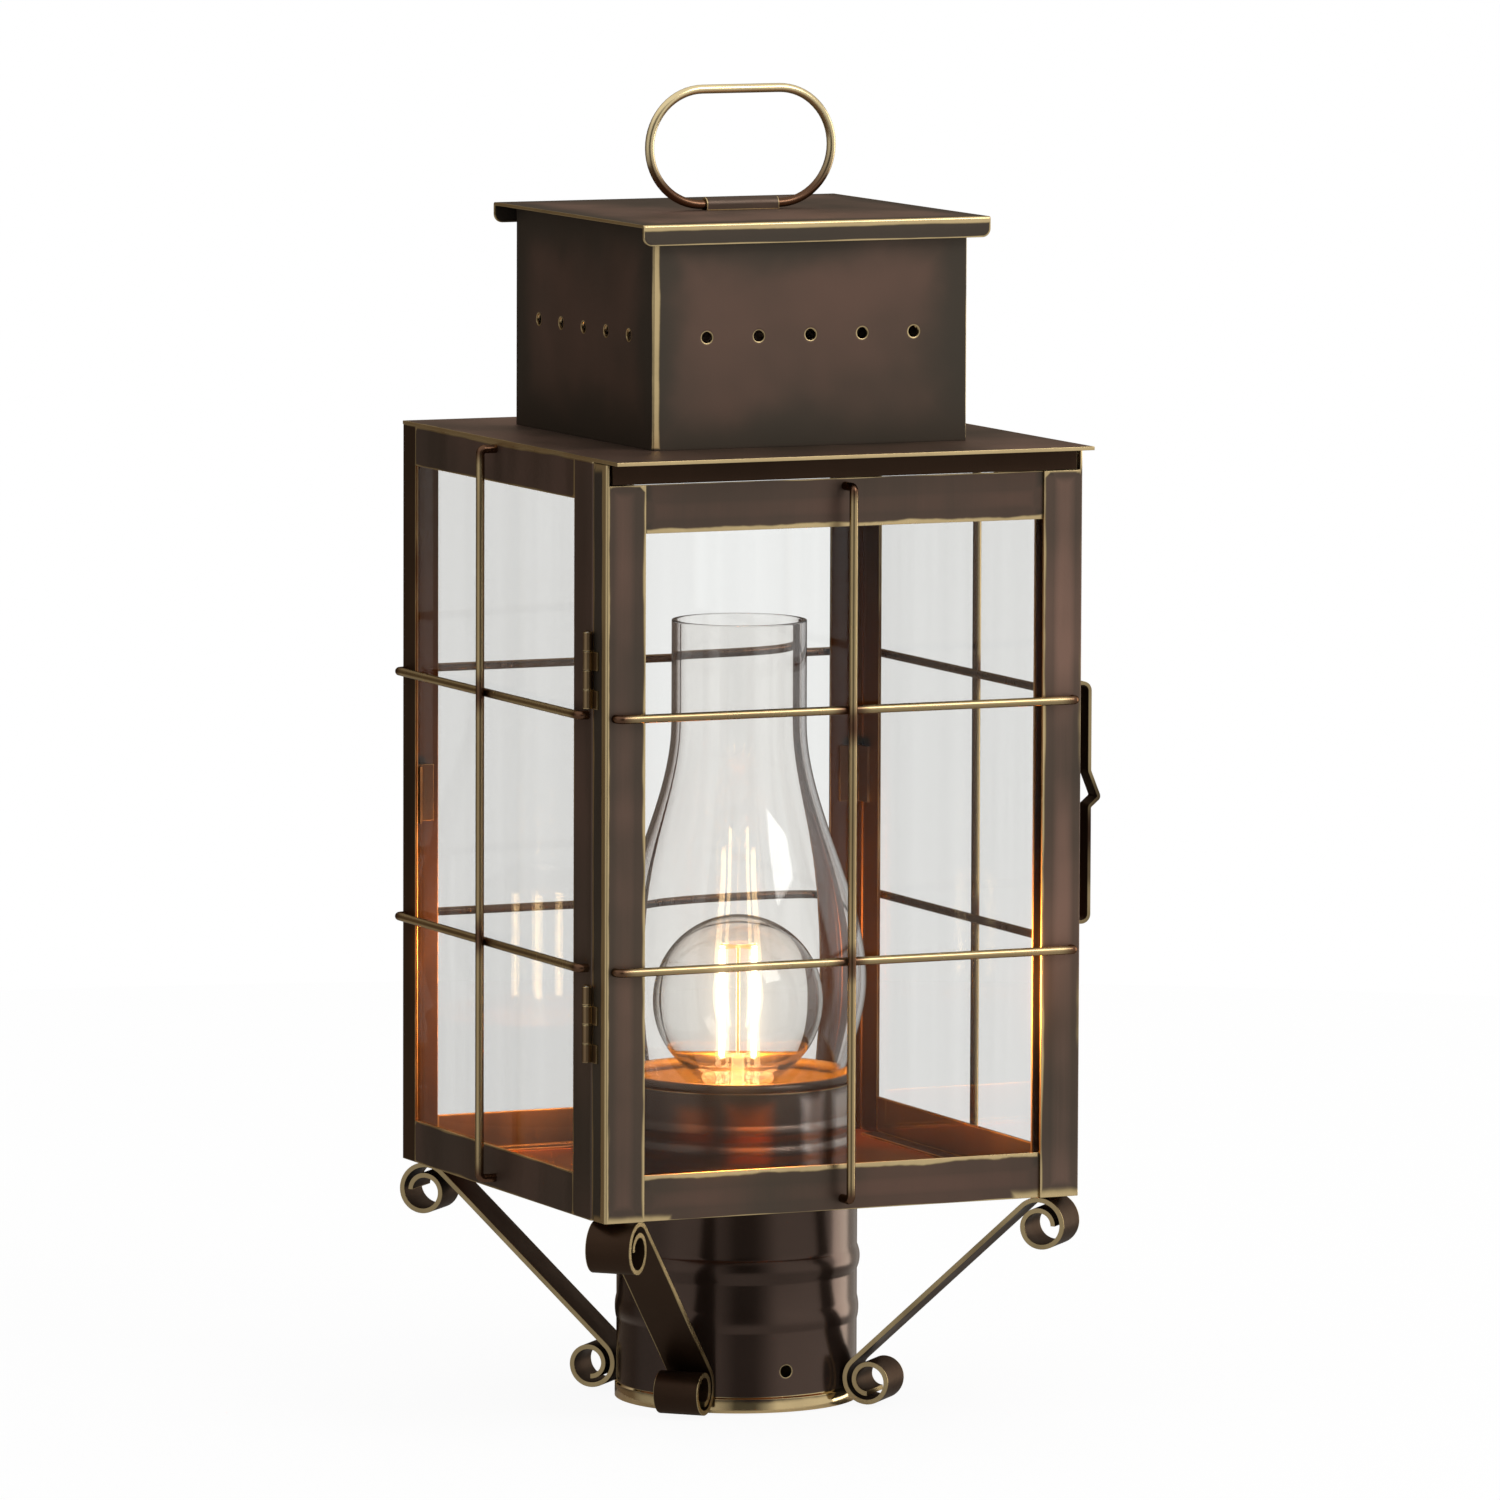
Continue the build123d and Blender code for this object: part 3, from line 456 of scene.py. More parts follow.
def aged_brass(
    name,
    patina,
    dark,
    worn,
    reach,
    patches=(),
    panel=None,
    darker_below=None,
    painted_wire_shade=False,
    bright_inside=None,
    cup_reflections=False,
    roughness=None,
    brushed=1.0,
    bareness=0.8,
    sheen=0.5,
):
    """Brown patina over brass sheet, brushed, with its edges rubbed bright, and, as its options ask,
    painted reflections, painted shade and a bottom made darker.
    """
    finish = bpy.context.scene.lantern_brass
    tree, shader, _ = new_material(name)
    skin = use_group(tree, patina_group(), Strength=finish.streaks * brushed)
    mask = use_group(tree, wear_group(), Reach=reach).outputs[0]
    for patch in patches:
        mask = sums(tree, "MAXIMUM", mask, patch_mask(tree, *patch))

    # The patina's tone, from dark to brown, with painted reflections and painted shade worked into it.
    tone = skin.outputs["Tone"]
    # Painted reflection: the tone is darkened toward the panel's border and lightened in its middle.
    if panel is not None:
        middle, half, rim = panel
        inside = panel_mask(tree, middle, half, rim, cloud=rim**2 * 0.05 * MM)
        tone = sums(tree, "MULTIPLY", tone, between(tree, inside, 0.0, 1.0, 0.1, 1.25), clamp=True)
    # The handle's tone is made darker towards its lower ends.
    if darker_below is not None:
        even = between(tree, tone, 0.0, 0.7, 0.75, 1.0)
        tone = sums(tree, "MULTIPLY", even, raised(tree, *darker_below))
    # Painted shade on the wires: the run attribute darkens them at crossings, at their feet and on
    # their inner side.
    if painted_wire_shade:
        run = put(tree, "ShaderNodeAttribute", attribute_name="run").outputs["Fac"]
        even = between(tree, tone, 0.0, 0.7, 0.7, 1.0)
        tone = sums(tree, "MULTIPLY", even, between(tree, run, 0.0, 1.0))
    brown = blend(tree, tone, dark, patina)
    if bright_inside is not None:
        radius, inner = bright_inside
        flat = vector_sums(tree, "MULTIPLY", on_piece(tree), (1.0, 1.0, 0.0))
        off_axis = vector_sums(tree, "LENGTH", flat, result="Value")
        inward = between(tree, off_axis, (radius - 0.3) * MM, radius * MM, 1.0, 0.0)
        brown = blend(tree, inward, brown, inner)
    # Painted reflections: orange and silver-white patches laid over the cup's colour.
    if cup_reflections:
        brown = with_cup_reflections(tree, brown)

    # The rubbed brass over it.
    dulled = sums(tree, "MULTIPLY", skin.outputs["Streaks"], 0.45)
    gold = blend(tree, dulled, worn, shaded(worn, 0.72))
    rubbed = blend(tree, between(tree, mask, 0.25, 1.0), shaded(worn, 0.5), gold)
    feed(tree, shader.inputs["Base Color"], blend(tree, between(tree, mask, 0.0, 0.6), brown, rubbed))

    base = finish.roughness if roughness is None else roughness
    sweep = 0.06 * brushed
    rough = between(tree, skin.outputs["Streaks"], 0.2, 0.8, base - sweep, base + sweep)
    polish = sums(tree, "MULTIPLY", mask, 0.1)
    feed(tree, shader.inputs["Roughness"], sums(tree, "SUBTRACT", rough, polish))
    feed(tree, shader.inputs["Metallic"], between(tree, mask, 0.0, 0.6, bareness, 1.0))
    feed(tree, shader.inputs["Specular Tint"], (sheen * 1.1, sheen, sheen * 0.9))
    bump = put(tree, "ShaderNodeBump")
    bump.inputs["Strength"].default_value = 0.04 * brushed
    bump.inputs["Distance"].default_value = 0.1 * MM
    feed(tree, bump.inputs["Height"], skin.outputs["Height"])
    feed(tree, shader.inputs["Normal"], bump.outputs[0])


def clear_glass(name, tint, edge=None, ior=1.46, streaks=0.0, smoked=None, glow=None, rim=None):
    """Clear glass that lets the bulb's light through."""
    tree, shader, out = new_material(name)
    shade = tint
    if edge is not None:
        turned = put(tree, "ShaderNodeLayerWeight")
        turned.inputs["Blend"].default_value = 0.35
        shade = blend(tree, between(tree, turned.outputs["Facing"], 0.25, 0.95), tint, edge)
    if streaks:
        drawn = noise(tree, on_piece(tree), 30.0, (4.0, 4.0, 0.06), 2.0)
        shade = blend(tree, between(tree, drawn, 0.35, 0.65, 0.0, streaks), shade, shaded(tint, 0.94))
    # Painted glint: the pane is whitened along its border.
    if rim is not None:
        inside = between(tree, panel_mask(tree, *rim), 0.55, 0.95)
        shade = blend(tree, inside, (1.0, 1.0, 1.0), shade)
    if smoked is not None:
        smoke, low, high = smoked
        shade = blend(tree, raised(tree, low, high), shade, smoke)
    # A painted glow: the glass gives off light of its own.
    if glow is not None:
        feed(tree, shader.inputs["Emission Color"], glow)
        feed(tree, shader.inputs["Emission Strength"], 1.0)
    feed(tree, shader.inputs["Base Color"], shade)
    feed(tree, shader.inputs["Roughness"], 0.0)
    feed(tree, shader.inputs["IOR"], ior)
    feed(tree, shader.inputs["Transmission Weight"], 1.0)
    path = put(tree, "ShaderNodeLightPath")
    lit = sums(tree, "MAXIMUM", path.outputs["Is Shadow Ray"], path.outputs["Is Diffuse Ray"])
    clear = put(tree, "ShaderNodeBsdfTransparent")
    feed(tree, clear.inputs[0], tint)
    feed(tree, out.inputs["Surface"], mixed(tree, lit, shader.outputs[0], clear.outputs[0]))


def glowing(name, tint, power):
    """A lit filament, hotter in places."""
    tree, shader, _ = new_material(name)
    uneven = noise(tree, on_piece(tree), 420.0, (1, 1, 1.6), 1.0)
    feed(tree, shader.inputs["Base Color"], blend(tree, uneven, tint, (1.0, 0.8, 0.5)))
    feed(tree, shader.inputs["Emission Color"], blend(tree, uneven, tint, (1.0, 0.82, 0.50)))
    feed(tree, shader.inputs["Emission Strength"], power)


def porcelain():
    """Glazed off-white, with faint specks."""
    tree, shader, _ = new_material("Glazed porcelain")
    specks = between(tree, noise(tree, on_piece(tree), 300.0), 0.6, 0.75)
    feed(tree, shader.inputs["Base Color"], blend(tree, specks, (0.86, 0.84, 0.79), (0.78, 0.75, 0.69)))
    feed(tree, shader.inputs["Roughness"], 0.2)


def build_materials():
    """Every finish of the lantern."""
    scene = bpy.context.scene
    brass, glass, glow = scene.lantern_brass, scene.lantern_glass, scene.lantern_bulb
    patina, worn, wear = tuple(brass.patina), tuple(brass.worn), brass.wear
    old_gold = shaded(worn, 0.6)
    sheet = (tuple(brass.patina_dark), worn, wear)
    aged_brass("Aged sheet", patina, *sheet)
    for name, lighter, panel in DOOR_PANELS:
        aged_brass(name, shaded(patina, lighter), *sheet, DOOR_PATCHES, panel)
    # The roof and lid are lit copies of the sheet: their patina is painted lighter, as their tops catch
    # the light.
    aged_brass("Roof sheet", shaded(patina, 1.9), *sheet, ROOF_PATCHES, brushed=0.5)
    # Back sheet is a darker, orange copy of the sheet for the back posts: painted shade with a painted
    # glow of the bulb.
    aged_brass("Back sheet", (0.066, 0.034, 0.016), (0.030, 0.018, 0.010), old_gold, wear)
    aged_brass("Aged box", shaded(patina, 1.12), *sheet, BOX_PATCHES, BOX_PANEL, brushed=0.3)
    aged_brass("Aged lid", shaded(patina, 1.75), *sheet, LID_PATCHES, LID_PANEL, brushed=0.4)

    strip, strip_dark = tuple(brass.strip), shaded(brass.strip, 0.6)
    aged_brass("Aged strip", strip, strip_dark, old_gold, wear * 0.8)
    tube = (tuple(brass.tube), shaded(brass.tube, 0.6), worn, wear, TUBE_PATCHES)
    aged_brass("Aged tube", *tube, roughness=0.2, brushed=0.3, sheen=0.9)
    aged_brass("Dark latch", strip, strip_dark, old_gold, wear * 0.6)
    aged_brass("Dark clip", (0.05, 0.036, 0.028), (0.03, 0.025, 0.02), old_gold, 0.2)

    wire = (tuple(brass.wire), tuple(brass.wire_dark), worn, 0.5)
    smooth = {"brushed": 0.1, "bareness": 1.0}
    aged_brass("Worn wire with painted shade", *wire, roughness=0.27, painted_wire_shade=True, **smooth)
    aged_brass("Hinge brass", *wire, roughness=0.32, **smooth)
    handle = (tuple(brass.handle), *wire[1:])
    aged_brass("Worn handle", *handle, roughness=0.24, darker_below=(401, 419), **smooth)

    # The floor plate's orange is partly a painted glow of the bulb, over bare brass.
    floor = (tuple(brass.warm), (0.34, 0.11, 0.035), worn, 0.3)
    aged_brass("Warm floor", *floor, roughness=0.34, brushed=0.3)
    # The spun cup carries painted reflections of the bulb's glow and painted highlights.
    cup = ((0.125, 0.080, 0.062), (0.055, 0.036, 0.028), worn, 0.35)
    inside = (37.6, (0.15, 0.12, 0.04))
    aged_brass(
        "Spun cup", *cup, bright_inside=inside, cup_reflections=True, roughness=0.26, brushed=0.2, sheen=0.9
    )
    aged_brass("Bright cap", (0.70, 0.56, 0.32), (0.55, 0.42, 0.22), worn, 0.6, roughness=0.25)
    aged_brass("Socket brass", (0.50, 0.36, 0.17), (0.36, 0.25, 0.12), worn, 0.5, roughness=0.3)
    steel = ((0.50, 0.48, 0.45), (0.38, 0.36, 0.33), (0.7, 0.68, 0.64), 0.5)
    aged_brass("Pin steel", *steel, roughness=0.3)

    for name, ior, rim in PANES:
        clear_glass(name, tuple(glass.pane), streaks=0.5, ior=ior, rim=rim)
    clear_glass("Chimney glass", tuple(glass.chimney), tuple(glass.chimney_edge))
    smoked = ((0.98, 0.92, 0.86), 136.0, 164.0)
    clear_glass("Bulb glass", tuple(glass.bulb), (0.86, 0.78, 0.70), smoked=smoked)
    # The stem's emission is a painted glow of the lit filaments.
    clear_glass("Stem glass", (0.97, 0.92, 0.80), glow=(0.42, 0.28, 0.12))
    glowing("Lit filament", tuple(glow.filament), glow.filament_power)
    porcelain()


# ---- making pieces
def add_object(name, data):
    """Put an object in the scene."""
    item = bpy.data.objects.new(name, data)
    bpy.context.scene.collection.objects.link(item)
    return item


def finish_piece(bm, name, material, body, nodes, slot, sharp=radians(35), weighted=True):
    """Turn a bmesh, drawn in millimetres, into a piece on its body that stands for its nodes."""
    bmesh.ops.scale(bm, vec=(MM, MM, MM), verts=bm.verts)
    for edge in bm.edges:
        edge.smooth = not (edge.is_manifold and edge.calc_face_angle() > sharp)
    for face in bm.faces:
        face.smooth = True
    mesh = bpy.data.meshes.new(name)
    bm.to_mesh(mesh)
    bm.free()
    mesh.materials.append(MATERIALS[material])
    piece = add_object(name, mesh)
    if weighted:
        modifier = piece.modifiers.new("Even shading", "WEIGHTED_NORMAL")
        modifier.keep_sharp = True
    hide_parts(*nodes)
    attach(piece, body)


def smooth_regions(bm, left_out):
    """Groups of faces that run on smoothly into each other."""
    turn, seen = radians(20), set(left_out)
    for start in list(bm.faces):
        if start in seen:
            continue
        seen.add(start)
        region, waiting = [], [start]
        while waiting:
            face = waiting.pop()
            region.append(face)
            for edge in face.edges:
                if not edge.is_manifold or edge.calc_face_angle() > turn:
                    continue
                for other in edge.link_faces:
                    if other not in seen:
                        seen.add(other)
                        waiting.append(other)
        yield region


def mean_width(region):
    """About how wide a group of faces is."""
    faces = set(region)
    border = sum(
        edge.calc_length()
        for face in region
        for edge in face.edges
        if any(other not in faces for other in edge.link_faces)
    )
    return 2 * sum(face.calc_area() for face in region) / max(border, 0.001)


def merged_copy(node):
    """A clean copy of a node's solid, in millimetres."""
    bm = bmesh.new()
    bm.from_mesh(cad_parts[node].data)
    bmesh.ops.scale(bm, vec=(1 / MM,) * 3, verts=bm.verts)
    bmesh.ops.remove_doubles(bm, verts=bm.verts, dist=0.003)
    bmesh.ops.dissolve_degenerate(bm, edges=bm.edges, dist=0.002)
    bmesh.ops.dissolve_limit(bm, angle_limit=radians(0.8), verts=bm.verts, edges=bm.edges)
    return bm


def cut_edges(bm):
    """The edges where sheet is cut or turns sharply."""
    return [edge for edge in bm.edges if edge.is_manifold and edge.calc_face_angle() > radians(32)]


def rounded(bm, edges, radius, segments):
    """Bevel the edges, and give the new faces."""
    if not edges:
        return []
    made = bmesh.ops.bevel(
        bm,
        geom=edges,
        offset=radius,
        offset_type="OFFSET",
        segments=segments,
        profile=0.5,
        affect="EDGES",
        clamp_overlap=True,
        material=-1,
    )
    return [face for face in made["faces"] if face.is_valid]


def edge_marked(bm, rub, radius):
    """Soften the cut edges, and mark how near each point is to one."""
    wear = bm.verts.layers.float.new("wear")
    cut = rounded(bm, cut_edges(bm), radius, segments=2)
    for face in cut:
        for vert in face.verts:
            vert[wear] = 1.0
    # A strip with no room for a rub along both sides is worn nearly all over.
    room, nearly = 2.3 * rub, 0.85
    for region in list(smooth_regions(bm, cut)):
        too_narrow = mean_width(region) < room
        if not too_narrow:
            bmesh.ops.inset_region(
                bm, faces=region, thickness=rub, use_even_offset=False, use_boundary=True
            )
        for face in region:
            for vert in face.verts:
                vert[wear] = max(vert[wear], nearly) if too_narrow else 0.0


def grid_marked(bm, rub, radius):
    """The same for square sheet, cut into strips beside its edges so that narrow tongues stay whole."""
    wear = bm.verts.layers.float.new("wear")
    sharp = cut_edges(bm)
    lines = [tuple(vert.co.copy() for vert in edge.verts) for edge in sharp]
    rounded(bm, sharp, radius, segments=2)
    for axis in range(3):
        level = [(start[axis], end[axis]) for start, end in lines]
        places = {round(a + side * rub, 2) for a, b in level if abs(a - b) < 0.01 for side in (-1, 1)}
        across = Vector((axis == 0, axis == 1, axis == 2))
        for place in sorted(places):
            parts = bm.verts[:] + bm.edges[:] + bm.faces[:]
            bmesh.ops.bisect_plane(bm, geom=parts, dist=0.001, plane_co=across * place, plane_no=across)
    for vert in bm.verts:
        vert[wear] = max(0.0, 1 - min(off_line(vert.co, *line) for line in lines) / rub)


def off_line(point, start, end):
    """How far a point is from a straight edge."""
    nearest, along = geometry.intersect_point_line(point, start, end)
    if along < 0:
        nearest = start
    elif along > 1:
        nearest = end
    return (point - nearest).length


def sheet_piece(
    node,
    body,
    material="Aged sheet",
    slot="bronze",
    rub=None,
    square=False,
    bare_below=None,
    moved=(),
    fold=None,
):
    """A piece of cut and folded sheet, from its solid.

    moved holds ends to move, as axis, place and step. fold is an upright edge to round. No wear is
    marked below bare_below.
    """
    sizes = bpy.context.scene.lantern_sizes
    bm = merged_copy(node)
    for axis, place, step in moved:
        for vert in bm.verts:
            if abs(vert.co[axis] - place) < 0.2:
                vert.co[axis] += step
    if fold is not None:
        upright = [e for e in bm.edges if all((v.co.xy - Vector(fold)).length < 0.05 for v in e.verts)]
        rounded(bm, upright, radius=1.5, segments=4)
    mark = grid_marked if square else edge_marked
    mark(bm, sizes.rub / MM if rub is None else rub, sizes.edge / MM)
    if bare_below is not None:
        wear = bm.verts.layers.float["wear"]
        for vert in bm.verts:
            if vert.co.z < bare_below:
                vert[wear] = 0.0
    finish_piece(bm, f"{node}_piece", material, body, [node], slot)


class Pen:
    """Draws a section along straight runs and round bends, as a bending jig does."""

    def __init__(self, bm, at, along, across, radius, sides):
        self.bm = bm
        along, across = Vector(along).normalized(), Vector(across).normalized()
        turn = Matrix((across, along.cross(across), along)).transposed().to_4x4()
        made = bmesh.ops.create_circle(
            bm, segments=sides, radius=radius, matrix=Matrix.Translation(Vector(at)) @ turn
        )
        self.end = made["verts"]

    def edges(self):
        ends = set(self.end)
        return list({e for vert in ends for e in vert.link_edges if e.other_vert(vert) in ends})

    def run(self, step, parts=1):
        for _ in range(parts):
            made = bmesh.ops.extrude_edge_only(self.bm, edges=self.edges())
            self.end = [part for part in made["geom"] if isinstance(part, bmesh.types.BMVert)]
            bmesh.ops.translate(self.bm, verts=self.end, vec=Vector(step) / parts)

    def bend(self, centre, axis, angle, steps):
        made = bmesh.ops.spin(
            self.bm, geom=self.end + self.edges(), cent=centre, axis=axis, angle=angle, steps=steps
        )
        self.end = [part for part in made["geom_last"] if isinstance(part, bmesh.types.BMVert)]


def close_ends(bm):
    """Cap the open ends of a drawn section."""
    open_edges = [edge for edge in bm.edges if edge.is_boundary]
    if open_edges:
        bmesh.ops.holes_fill(bm, edges=open_edges)
    bmesh.ops.recalc_face_normals(bm, faces=bm.faces)


class Turning:
    """A half profile, drawn in radius and height, then turned round the lantern's axis."""

    def __init__(self, radius, height):
        self.bm = bmesh.new()
        self.last = self.bm.verts.new((radius, 0, height))

    def to(self, radius, height):
        vert = self.bm.verts.new((radius, 0, height))
        self.bm.edges.new((self.last, vert))
        self.last = vert
        return self

    def curve(self, first, second, radius, height, steps=24):
        points = geometry.interpolate_bezier(
            self.last.co, (first[0], 0, first[1]), (second[0], 0, second[1]), (radius, 0, height), steps
        )
        for point in points[1:]:
            self.to(point.x, point.z)
        return self

    def arc(self, height, angle, steps):
        """Round a centre on the axis."""
        made = bmesh.ops.spin(
            self.bm, geom=[self.last], cent=(0, 0, height), axis=(0, 1, 0), angle=angle, steps=steps
        )
        self.last = next(part for part in made["geom_last"] if isinstance(part, bmesh.types.BMVert))
        return self

    def turn(self, steps):
        bm = self.bm
        bmesh.ops.spin(
            bm,
            geom=bm.verts[:] + bm.edges[:],
            cent=(0, 0, 0),
            axis=(0, 0, 1),
            angle=2 * pi,
            steps=steps,
            use_merge=True,
        )
        bmesh.ops.remove_doubles(bm, verts=bm.verts, dist=0.001)
        bmesh.ops.recalc_face_normals(bm, faces=bm.faces)
        return bm


def turned_piece(side, body, material, node, *others):
    """A piece of turned glass, from its half profile."""
    bm = side.turn(bpy.context.scene.lantern_sizes.turned_steps)
    nodes, sharp = [node, *others], radians(60)
    finish_piece(bm, f"{node}_piece", material, body, nodes, node, sharp, weighted=False)


# ---- stage
LANTERN_MIDDLE = Vector((0, 0, 0.2))


def box_light(name, place, size, power, tint):
    """A soft light from a rectangle, aimed at the lantern's middle."""
    data = bpy.data.lights.new(name, "AREA")
    data.shape = "RECTANGLE"
    data.size, data.size_y = size
    data.energy = power
    data.color = tint
    lamp = add_object(name, data)
    lamp.location = place
    lamp.rotation_euler = (Vector(place) - LANTERN_MIDDLE).to_track_quat("Z", "Y").to_euler()
    return lamp


def seen_straight(tree):
    """Where a ray comes from the camera, straight or through clear glass."""
    path = put(tree, "ShaderNodeLightPath")
    seen = sums(tree, "MAXIMUM", path.outputs["Is Camera Ray"], path.outputs["Is Transmission Ray"])
    bounced = sums(tree, "ADD", path.outputs["Glossy Depth"], path.outputs["Diffuse Depth"])
    return sums(tree, "MULTIPLY", seen, sums(tree, "LESS_THAN", bounced, 0.5))


def grey(level):
    return (level, level, level)


# What the metal and the glass mirror, by the share of the way from left to right.
DIM, HALF_DIM = (0.13, 0.0988, 0.078), (0.19, 0.1444, 0.114)
WALLS_BEHIND = (
    (0.0, grey(0.4)),
    (0.10, grey(0.32)),
    (0.18, DIM),
    (0.65, DIM),
    (0.77, HALF_DIM),
    (0.86, grey(0.6)),
    (0.93, grey(0.6)),
    (1.0, grey(0.6)),
)
WALLS_IN_FRONT = (
    (0.0, grey(0.75)),
    (0.20, grey(0.04)),
    (0.42, grey(0.05)),
    (0.56, grey(0.38)),
    (0.70, grey(0.85)),
    (1.0, grey(0.85)),
)


def build_world():
    """White behind the lantern, and a soft studio round it for its reflections."""
    world = bpy.data.worlds.new("Studio")
    bpy.context.scene.world = world
    world.use_nodes = True
    tree = world.node_tree
    tree.nodes.clear()
    x, y, z = apart(tree, put(tree, "ShaderNodeTexCoord").outputs["Generated"])
    behind = ramp(tree, sums(tree, "MULTIPLY_ADD", x, 0.5, 0.5), WALLS_BEHIND)
    in_front = ramp(tree, between(tree, x, -1.0, 1.0), WALLS_IN_FRONT)
    level = blend(tree, between(tree, y, -0.15, 0.3), in_front, behind)
    level = blend(tree, between(tree, z, 0.25, 0.7), level, grey(1.0))
    level = blend(tree, between(tree, z, -0.35, -0.12, 1.0, 0.0), level, grey(0.5))
    shade = put(tree, "ShaderNodeBackground")
    feed(tree, shade.inputs[0], blend(tree, seen_straight(tree), level, grey(1.0)))
    feed(tree, put(tree, "ShaderNodeOutputWorld").inputs[0], shade.outputs[0])


def build_floor():
    """A pale round floor, just under the lantern's foot."""
    radius, drop, foot_radius = 1.1, 0.0006, 0.05
    bm = bmesh.new()
    bmesh.ops.create_circle(bm, cap_ends=True, segments=96, radius=radius)
    mesh = bpy.data.meshes.new("floor")
    bm.to_mesh(mesh)
    bm.free()
    floor = add_object("floor", mesh)
    floor.location.z = -drop
    tree, shader, out = new_material("Pale floor")
    feed(tree, shader.inputs["Base Color"], tuple(bpy.context.scene.lantern_stage.floor))
    feed(tree, shader.inputs["Roughness"], 0.9)
    white = put(tree, "ShaderNodeEmission")
    feed(tree, white.inputs[0], grey(1.0))
    whitened = sums(tree, "MULTIPLY", seen_straight(tree), 0.93)
    pale = mixed(tree, whitened, shader.outputs[0], white.outputs[0])
    # The lantern's metal and glass mirror the studio's walls, not the floor.
    unseen = put(tree, "ShaderNodeBsdfTransparent")
    off_axis = vector_sums(tree, "LENGTH", on_piece(tree), result="Value")
    clear_of_foot = sums(tree, "LESS_THAN", foot_radius, off_axis)
    path = put(tree, "ShaderNodeLightPath")
    mirrored = sums(tree, "LESS_THAN", 0.5, path.outputs["Glossy Depth"])
    left_out = sums(tree, "MULTIPLY", mirrored, clear_of_foot)
    feed(tree, out.inputs["Surface"], mixed(tree, left_out, pale, unseen.outputs[0]))
    mesh.materials.append(MATERIALS["Pale floor"])


def build_camera():
    """A long lens at the photograph's viewing angle."""
    view = bpy.context.scene.lantern_stage
    right = Vector((cos(view.azimuth), -sin(view.azimuth), 0))
    back = Vector(
        (-sin(view.azimuth) * cos(view.pitch), -cos(view.azimuth) * cos(view.pitch), sin(view.pitch))
    )
    up = back.cross(right)
    across = right * cos(view.roll) + up * sin(view.roll)
    upright = up * cos(view.roll) - right * sin(view.roll)
    place = right * view.side + Vector((0, 0, view.height)) + back * view.distance
    data = bpy.data.cameras.new("camera")
    data.sensor_fit = "HORIZONTAL"
    data.sensor_width = 36.0
    data.lens = view.lens
    data.clip_start, data.clip_end = 0.1, 100.0
    camera = add_object("camera", data)
    turn = Matrix((across, upright, back)).transposed().to_4x4()
    camera.matrix_world = Matrix.Translation(place) @ turn
    bpy.context.scene.camera = camera


def build_bloom():
    """A soft bloom round the lit filaments."""
    scene = bpy.context.scene
    scene.use_nodes = True
    tree = scene.node_tree
    tree.nodes.clear()
    layers = put(tree, "CompositorNodeRLayers")
    bloom = put(tree, "CompositorNodeGlare", glare_type="BLOOM", quality="HIGH")
    bloom.inputs["Threshold"].default_value = 1.3
    bloom.inputs["Strength"].default_value = 0.6
    bloom.inputs["Size"].default_value = 0.22
    out = put(tree, "CompositorNodeComposite")
    tree.links.new(layers.outputs[0], bloom.inputs[0])
    tree.links.new(bloom.outputs[0], out.inputs[0])


class LANTERN_OT_stage(bpy.types.Operator):
    """Set up the camera, the studio light, the pale floor and the finishes"""

    bl_idname = "lantern.stage"
    bl_label = "Stage and finishes"

    def execute(self, context):
        context.scene.view_settings.view_transform = "Standard"
        build_materials()
        build_world()
        build_floor()
        build_camera()
        build_bloom()
        return {"FINISHED"}


# ---- the sheet metal
FACES = ("left", "right", "back")
CORNERS = ("back_left", "back_right", "front_left", "front_right")
X, Y = 0, 1


class LANTERN_OT_house(bpy.types.Operator):
    """Dress the fixed frame of the lamp house: floor, corner posts and rails"""

    bl_idname = "lantern.house"
    bl_label = "Lamp house frame"

    def execute(self, context):
        sheet_piece("floor_plate", "lantern", "Warm floor", "warm_brass")
        # The back posts' legs are wider than their solids, and the rails between them shorter.
        leg_edge, wider_back, wider_side = 74.0, 2.6, 5.0
        to_left, to_right = (X, leg_edge, -wider_back), (X, -leg_edge, wider_back)
        to_front = (Y, leg_edge, -wider_side)
        # The back posts take the Back sheet, with its painted shade and painted bulb glow.
        for corner, moved in (("back_left", (to_right,)), ("back_right", (to_left, to_front))):
            sheet_piece(f"{corner}_post", "lantern", "Back sheet", rub=0.7, square=True, moved=moved)
        for corner in ("front_left", "front_right"):
            sheet_piece(f"{corner}_post", "lantern", square=True)
        ends = {"left": (), "right": (to_front,), "back": (to_left, to_right)}
        for face in FACES:
            sheet_piece(f"{face}_top_rail", "lantern", square=True, moved=ends[face])
            sheet_piece(f"{face}_bottom_rail", "lantern", square=True, moved=ends[face])
        return {"FINISHED"}


class LANTERN_OT_top(bpy.types.Operator):
    """Dress the roof plate, its header strip, the vent box and the lid"""

    bl_idname = "lantern.top"
    bl_label = "Roof, vent box and lid"

    def execute(self, context):
        sheet_piece("roof_plate", "lantern", "Roof sheet", rub=1.0)
        sheet_piece("header_strip", "lantern", "Aged strip", rub=0.4, square=True)
        sheet_piece("vent_box", "lantern", "Aged box", rub=0.9, bare_below=325.0)
        sheet_piece("lid", "lantern", "Aged lid", rub=1.0)
        return {"FINISHED"}


class LANTERN_OT_door(bpy.types.Operator):
    """Dress the hinged front door's stiles and rails"""

    bl_idname = "lantern.door"
    bl_label = "Door frame"

    def execute(self, context):
        half_width = 85.0
        for node, rub, fold in (
            ("door_left_stile", 2.2, (-half_width, -half_width)),
            ("door_right_stile", 2.2, (half_width, -half_width)),
            ("door_top_rail", 0.9, None),
            ("door_bottom_rail", 0.9, None),
        ):
            sheet_piece(node, "door", node.replace("_", " "), rub=rub, square=True, fold=fold)
        return {"FINISHED"}


